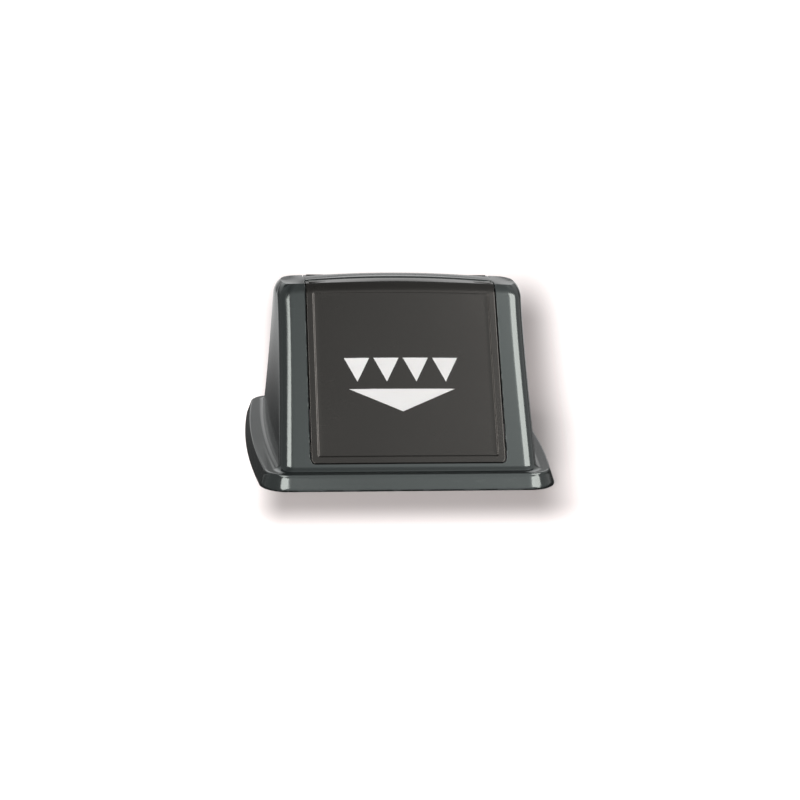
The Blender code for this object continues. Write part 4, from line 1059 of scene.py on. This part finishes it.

# %% The painted reflection glow, for reflections
# Painted reflection: for glossy rays the floor glows though it is no lamp, at 0.08 near the hood as painted
# shade and up to 1.15 far off.
painted_sheen = between(tree, distance, 0.3, 2.1, 0.08, 1.15, "SMOOTHSTEP")
painted_reflection = add_node(tree, "ShaderNodeEmission", {"Color": (1, 1, 1, 1), "Strength": painted_sheen})
both = add_node(tree, "ShaderNodeMixShader", {0: rays["Is Glossy Ray"], 1: surface.outputs[0],
                                              2: painted_reflection.outputs[0]})
tree.links.new(both.outputs[0], tree.nodes["Material Output"].inputs["Surface"])
floor.data.materials.append(floor_look)


# %% [markdown]
# ## White surroundings
# The world is white for the camera and one even, dim grey for the light it gives. A reflection meets
# a studio instead: profiles of brightness against height behind the hood and against sideways
# direction in front of it, which is how a room of large pale panels would look in the plastic.

# %% White surroundings
PEAK = 3.0
world = bpy.data.worlds.new("white studio")
bpy.context.scene.world = world
world.use_nodes = True
tree = world.node_tree
tree.nodes.clear()
generated = tree.nodes.new("ShaderNodeTexCoord").outputs["Generated"]
way = add_node(tree, "ShaderNodeSeparateXYZ", {0: generated}).outputs


def profile(value, start, end, stops):
    """Straight lines between (place, brightness) stops, for places between start and end."""
    ramp = add_node(tree, "ShaderNodeValToRGB", {"Fac": between(tree, value, start, end)})
    marks = ramp.color_ramp
    for _ in stops[2:]:
        marks.elements.new(0.5)
    for mark, (place, brightness) in zip(marks.elements, stops):
        mark.position, mark.color = (place - start) / (end - start), (brightness / PEAK,) * 3 + (1,)
    return maths(tree, "MULTIPLY", ramp.outputs["Color"], PEAK)


# %% Panels of the studio
BEHIND = [(-0.1, 0.8), (0.0, 0.7), (0.12, 0.9), (0.215, 0.9), (0.26, 0.32), (0.3, 0.32), (0.35, 1.5),
          (0.5, 2.6), (0.66, 3.0), (0.69, 3.0), (0.75, 0.0), (0.9, 0.0), (1.0, 0.2)]
BEFORE = [(-1.0, 0.6), (-0.2, 0.7), (0.07, 1.75), (0.18, 2.5), (0.3, 2.5), (0.5, 1.3), (1.0, 1.1)]
off_centre = maths(tree, "ABSOLUTE", way["X"])
behind = maths(tree, "MULTIPLY", profile(way["Z"], -0.5, 1.0, BEHIND),
               between(tree, off_centre, 0.25, 0.6, 1.0, 0.4, "SMOOTHSTEP"))
before = maths(tree, "MULTIPLY", profile(way["X"], -1.0, 1.0, BEFORE),
               between(tree, way["Z"], 0.84, 0.99, 1.0, 0.4, "SMOOTHSTEP"))
side = between(tree, way["Y"], 0.3, 0.45, kind="SMOOTHSTEP")
rays = tree.nodes.new("ShaderNodeLightPath").outputs
level = mixed(tree, rays["Is Glossy Ray"], 0.25, mixed(tree, side, before, behind))
level = mixed(tree, rays["Is Camera Ray"], level, 1.0)
sky = add_node(tree, "ShaderNodeBackground", {"Color": (1, 1, 1, 1), "Strength": level})
tree.links.new(sky.outputs[0], tree.nodes.new("ShaderNodeOutputWorld").inputs["Surface"])


# %% [markdown]
# ## Lamps
# One key lamp gives the light and the shadows, at a level where a colour looks about as written. The
# two tall boxes only show in reflections: they draw the pale lines down the hood's rounded corners.

# %% Lamps
BOX_COLOUR, KEY_COLOUR = (1, 0.955, 0.925), (1, 1, 1)


def softbox(name, azimuth, elevation, spread, rise, brightness, lights, shows, lean=0.0, distance=12.0):
    """An area lamp aimed at the hood, spread and rise degrees to each side of its middle.

    Its half sides are distance * tan(angle); watts = brightness (its radiance) * area * pi.
    """
    a, e = np.radians(azimuth), np.radians(elevation)
    away = Vector((np.sin(a) * np.cos(e), -np.cos(a) * np.cos(e), np.sin(e)))
    lamp = bpy.data.lights.new(name, "AREA")
    lamp.shape = "RECTANGLE"
    lamp.size, lamp.size_y = (2 * distance * np.tan(np.radians(v)) for v in (spread, rise))
    lamp.energy = brightness * lamp.size * lamp.size_y * np.pi
    lamp.color = BOX_COLOUR if shows else KEY_COLOUR
    box = bpy.data.objects.new(name, lamp)
    box.location = Vector((0, 0, 0.2)) + away * distance
    turn = away.to_track_quat("Z", "Y").to_matrix() @ Matrix.Rotation(np.radians(lean), 3, "Z")
    box.rotation_euler = turn.to_euler()
    box.visible_camera, box.visible_diffuse, box.visible_glossy = False, lights, shows
    bpy.context.scene.collection.objects.link(box)
    print(f"{name}: {lamp.energy:.1f} W")


softbox("key", -36, 48, 18, 18, 5.0, True, False, distance=3.4)
softbox("left box", -22, 31.5, 13.5, 26, 13, False, True, lean=27)
softbox("right box", 42, 32, 17.6, 28, 12, False, True, lean=-25)

# %% [markdown]
# ## Camera
# A long lens from a little to the left and above shows the front face, a sliver of the left side and
# the top of the flange. The lens is rolled by less than two degrees.

# %% Camera and colour
camera = bpy.data.objects.new("camera", bpy.data.cameras.new("camera"))
camera.data.lens, camera.data.sensor_width = 91.03, 36
camera.location = Vector((-0.5026, -3.9848, 1.2053))
aim, roll = Vector((0.012, 0, 0.0994)), Matrix.Rotation(np.radians(1.76), 3, "Z")
look = aim - camera.location
camera.rotation_euler = (look.to_track_quat("-Z", "Y").to_matrix() @ roll).to_euler()
camera.data.clip_start, camera.data.clip_end = 0.1, 100
bpy.context.scene.collection.objects.link(camera)
bpy.context.scene.camera = camera
bpy.context.scene.view_settings.view_transform = "Standard"
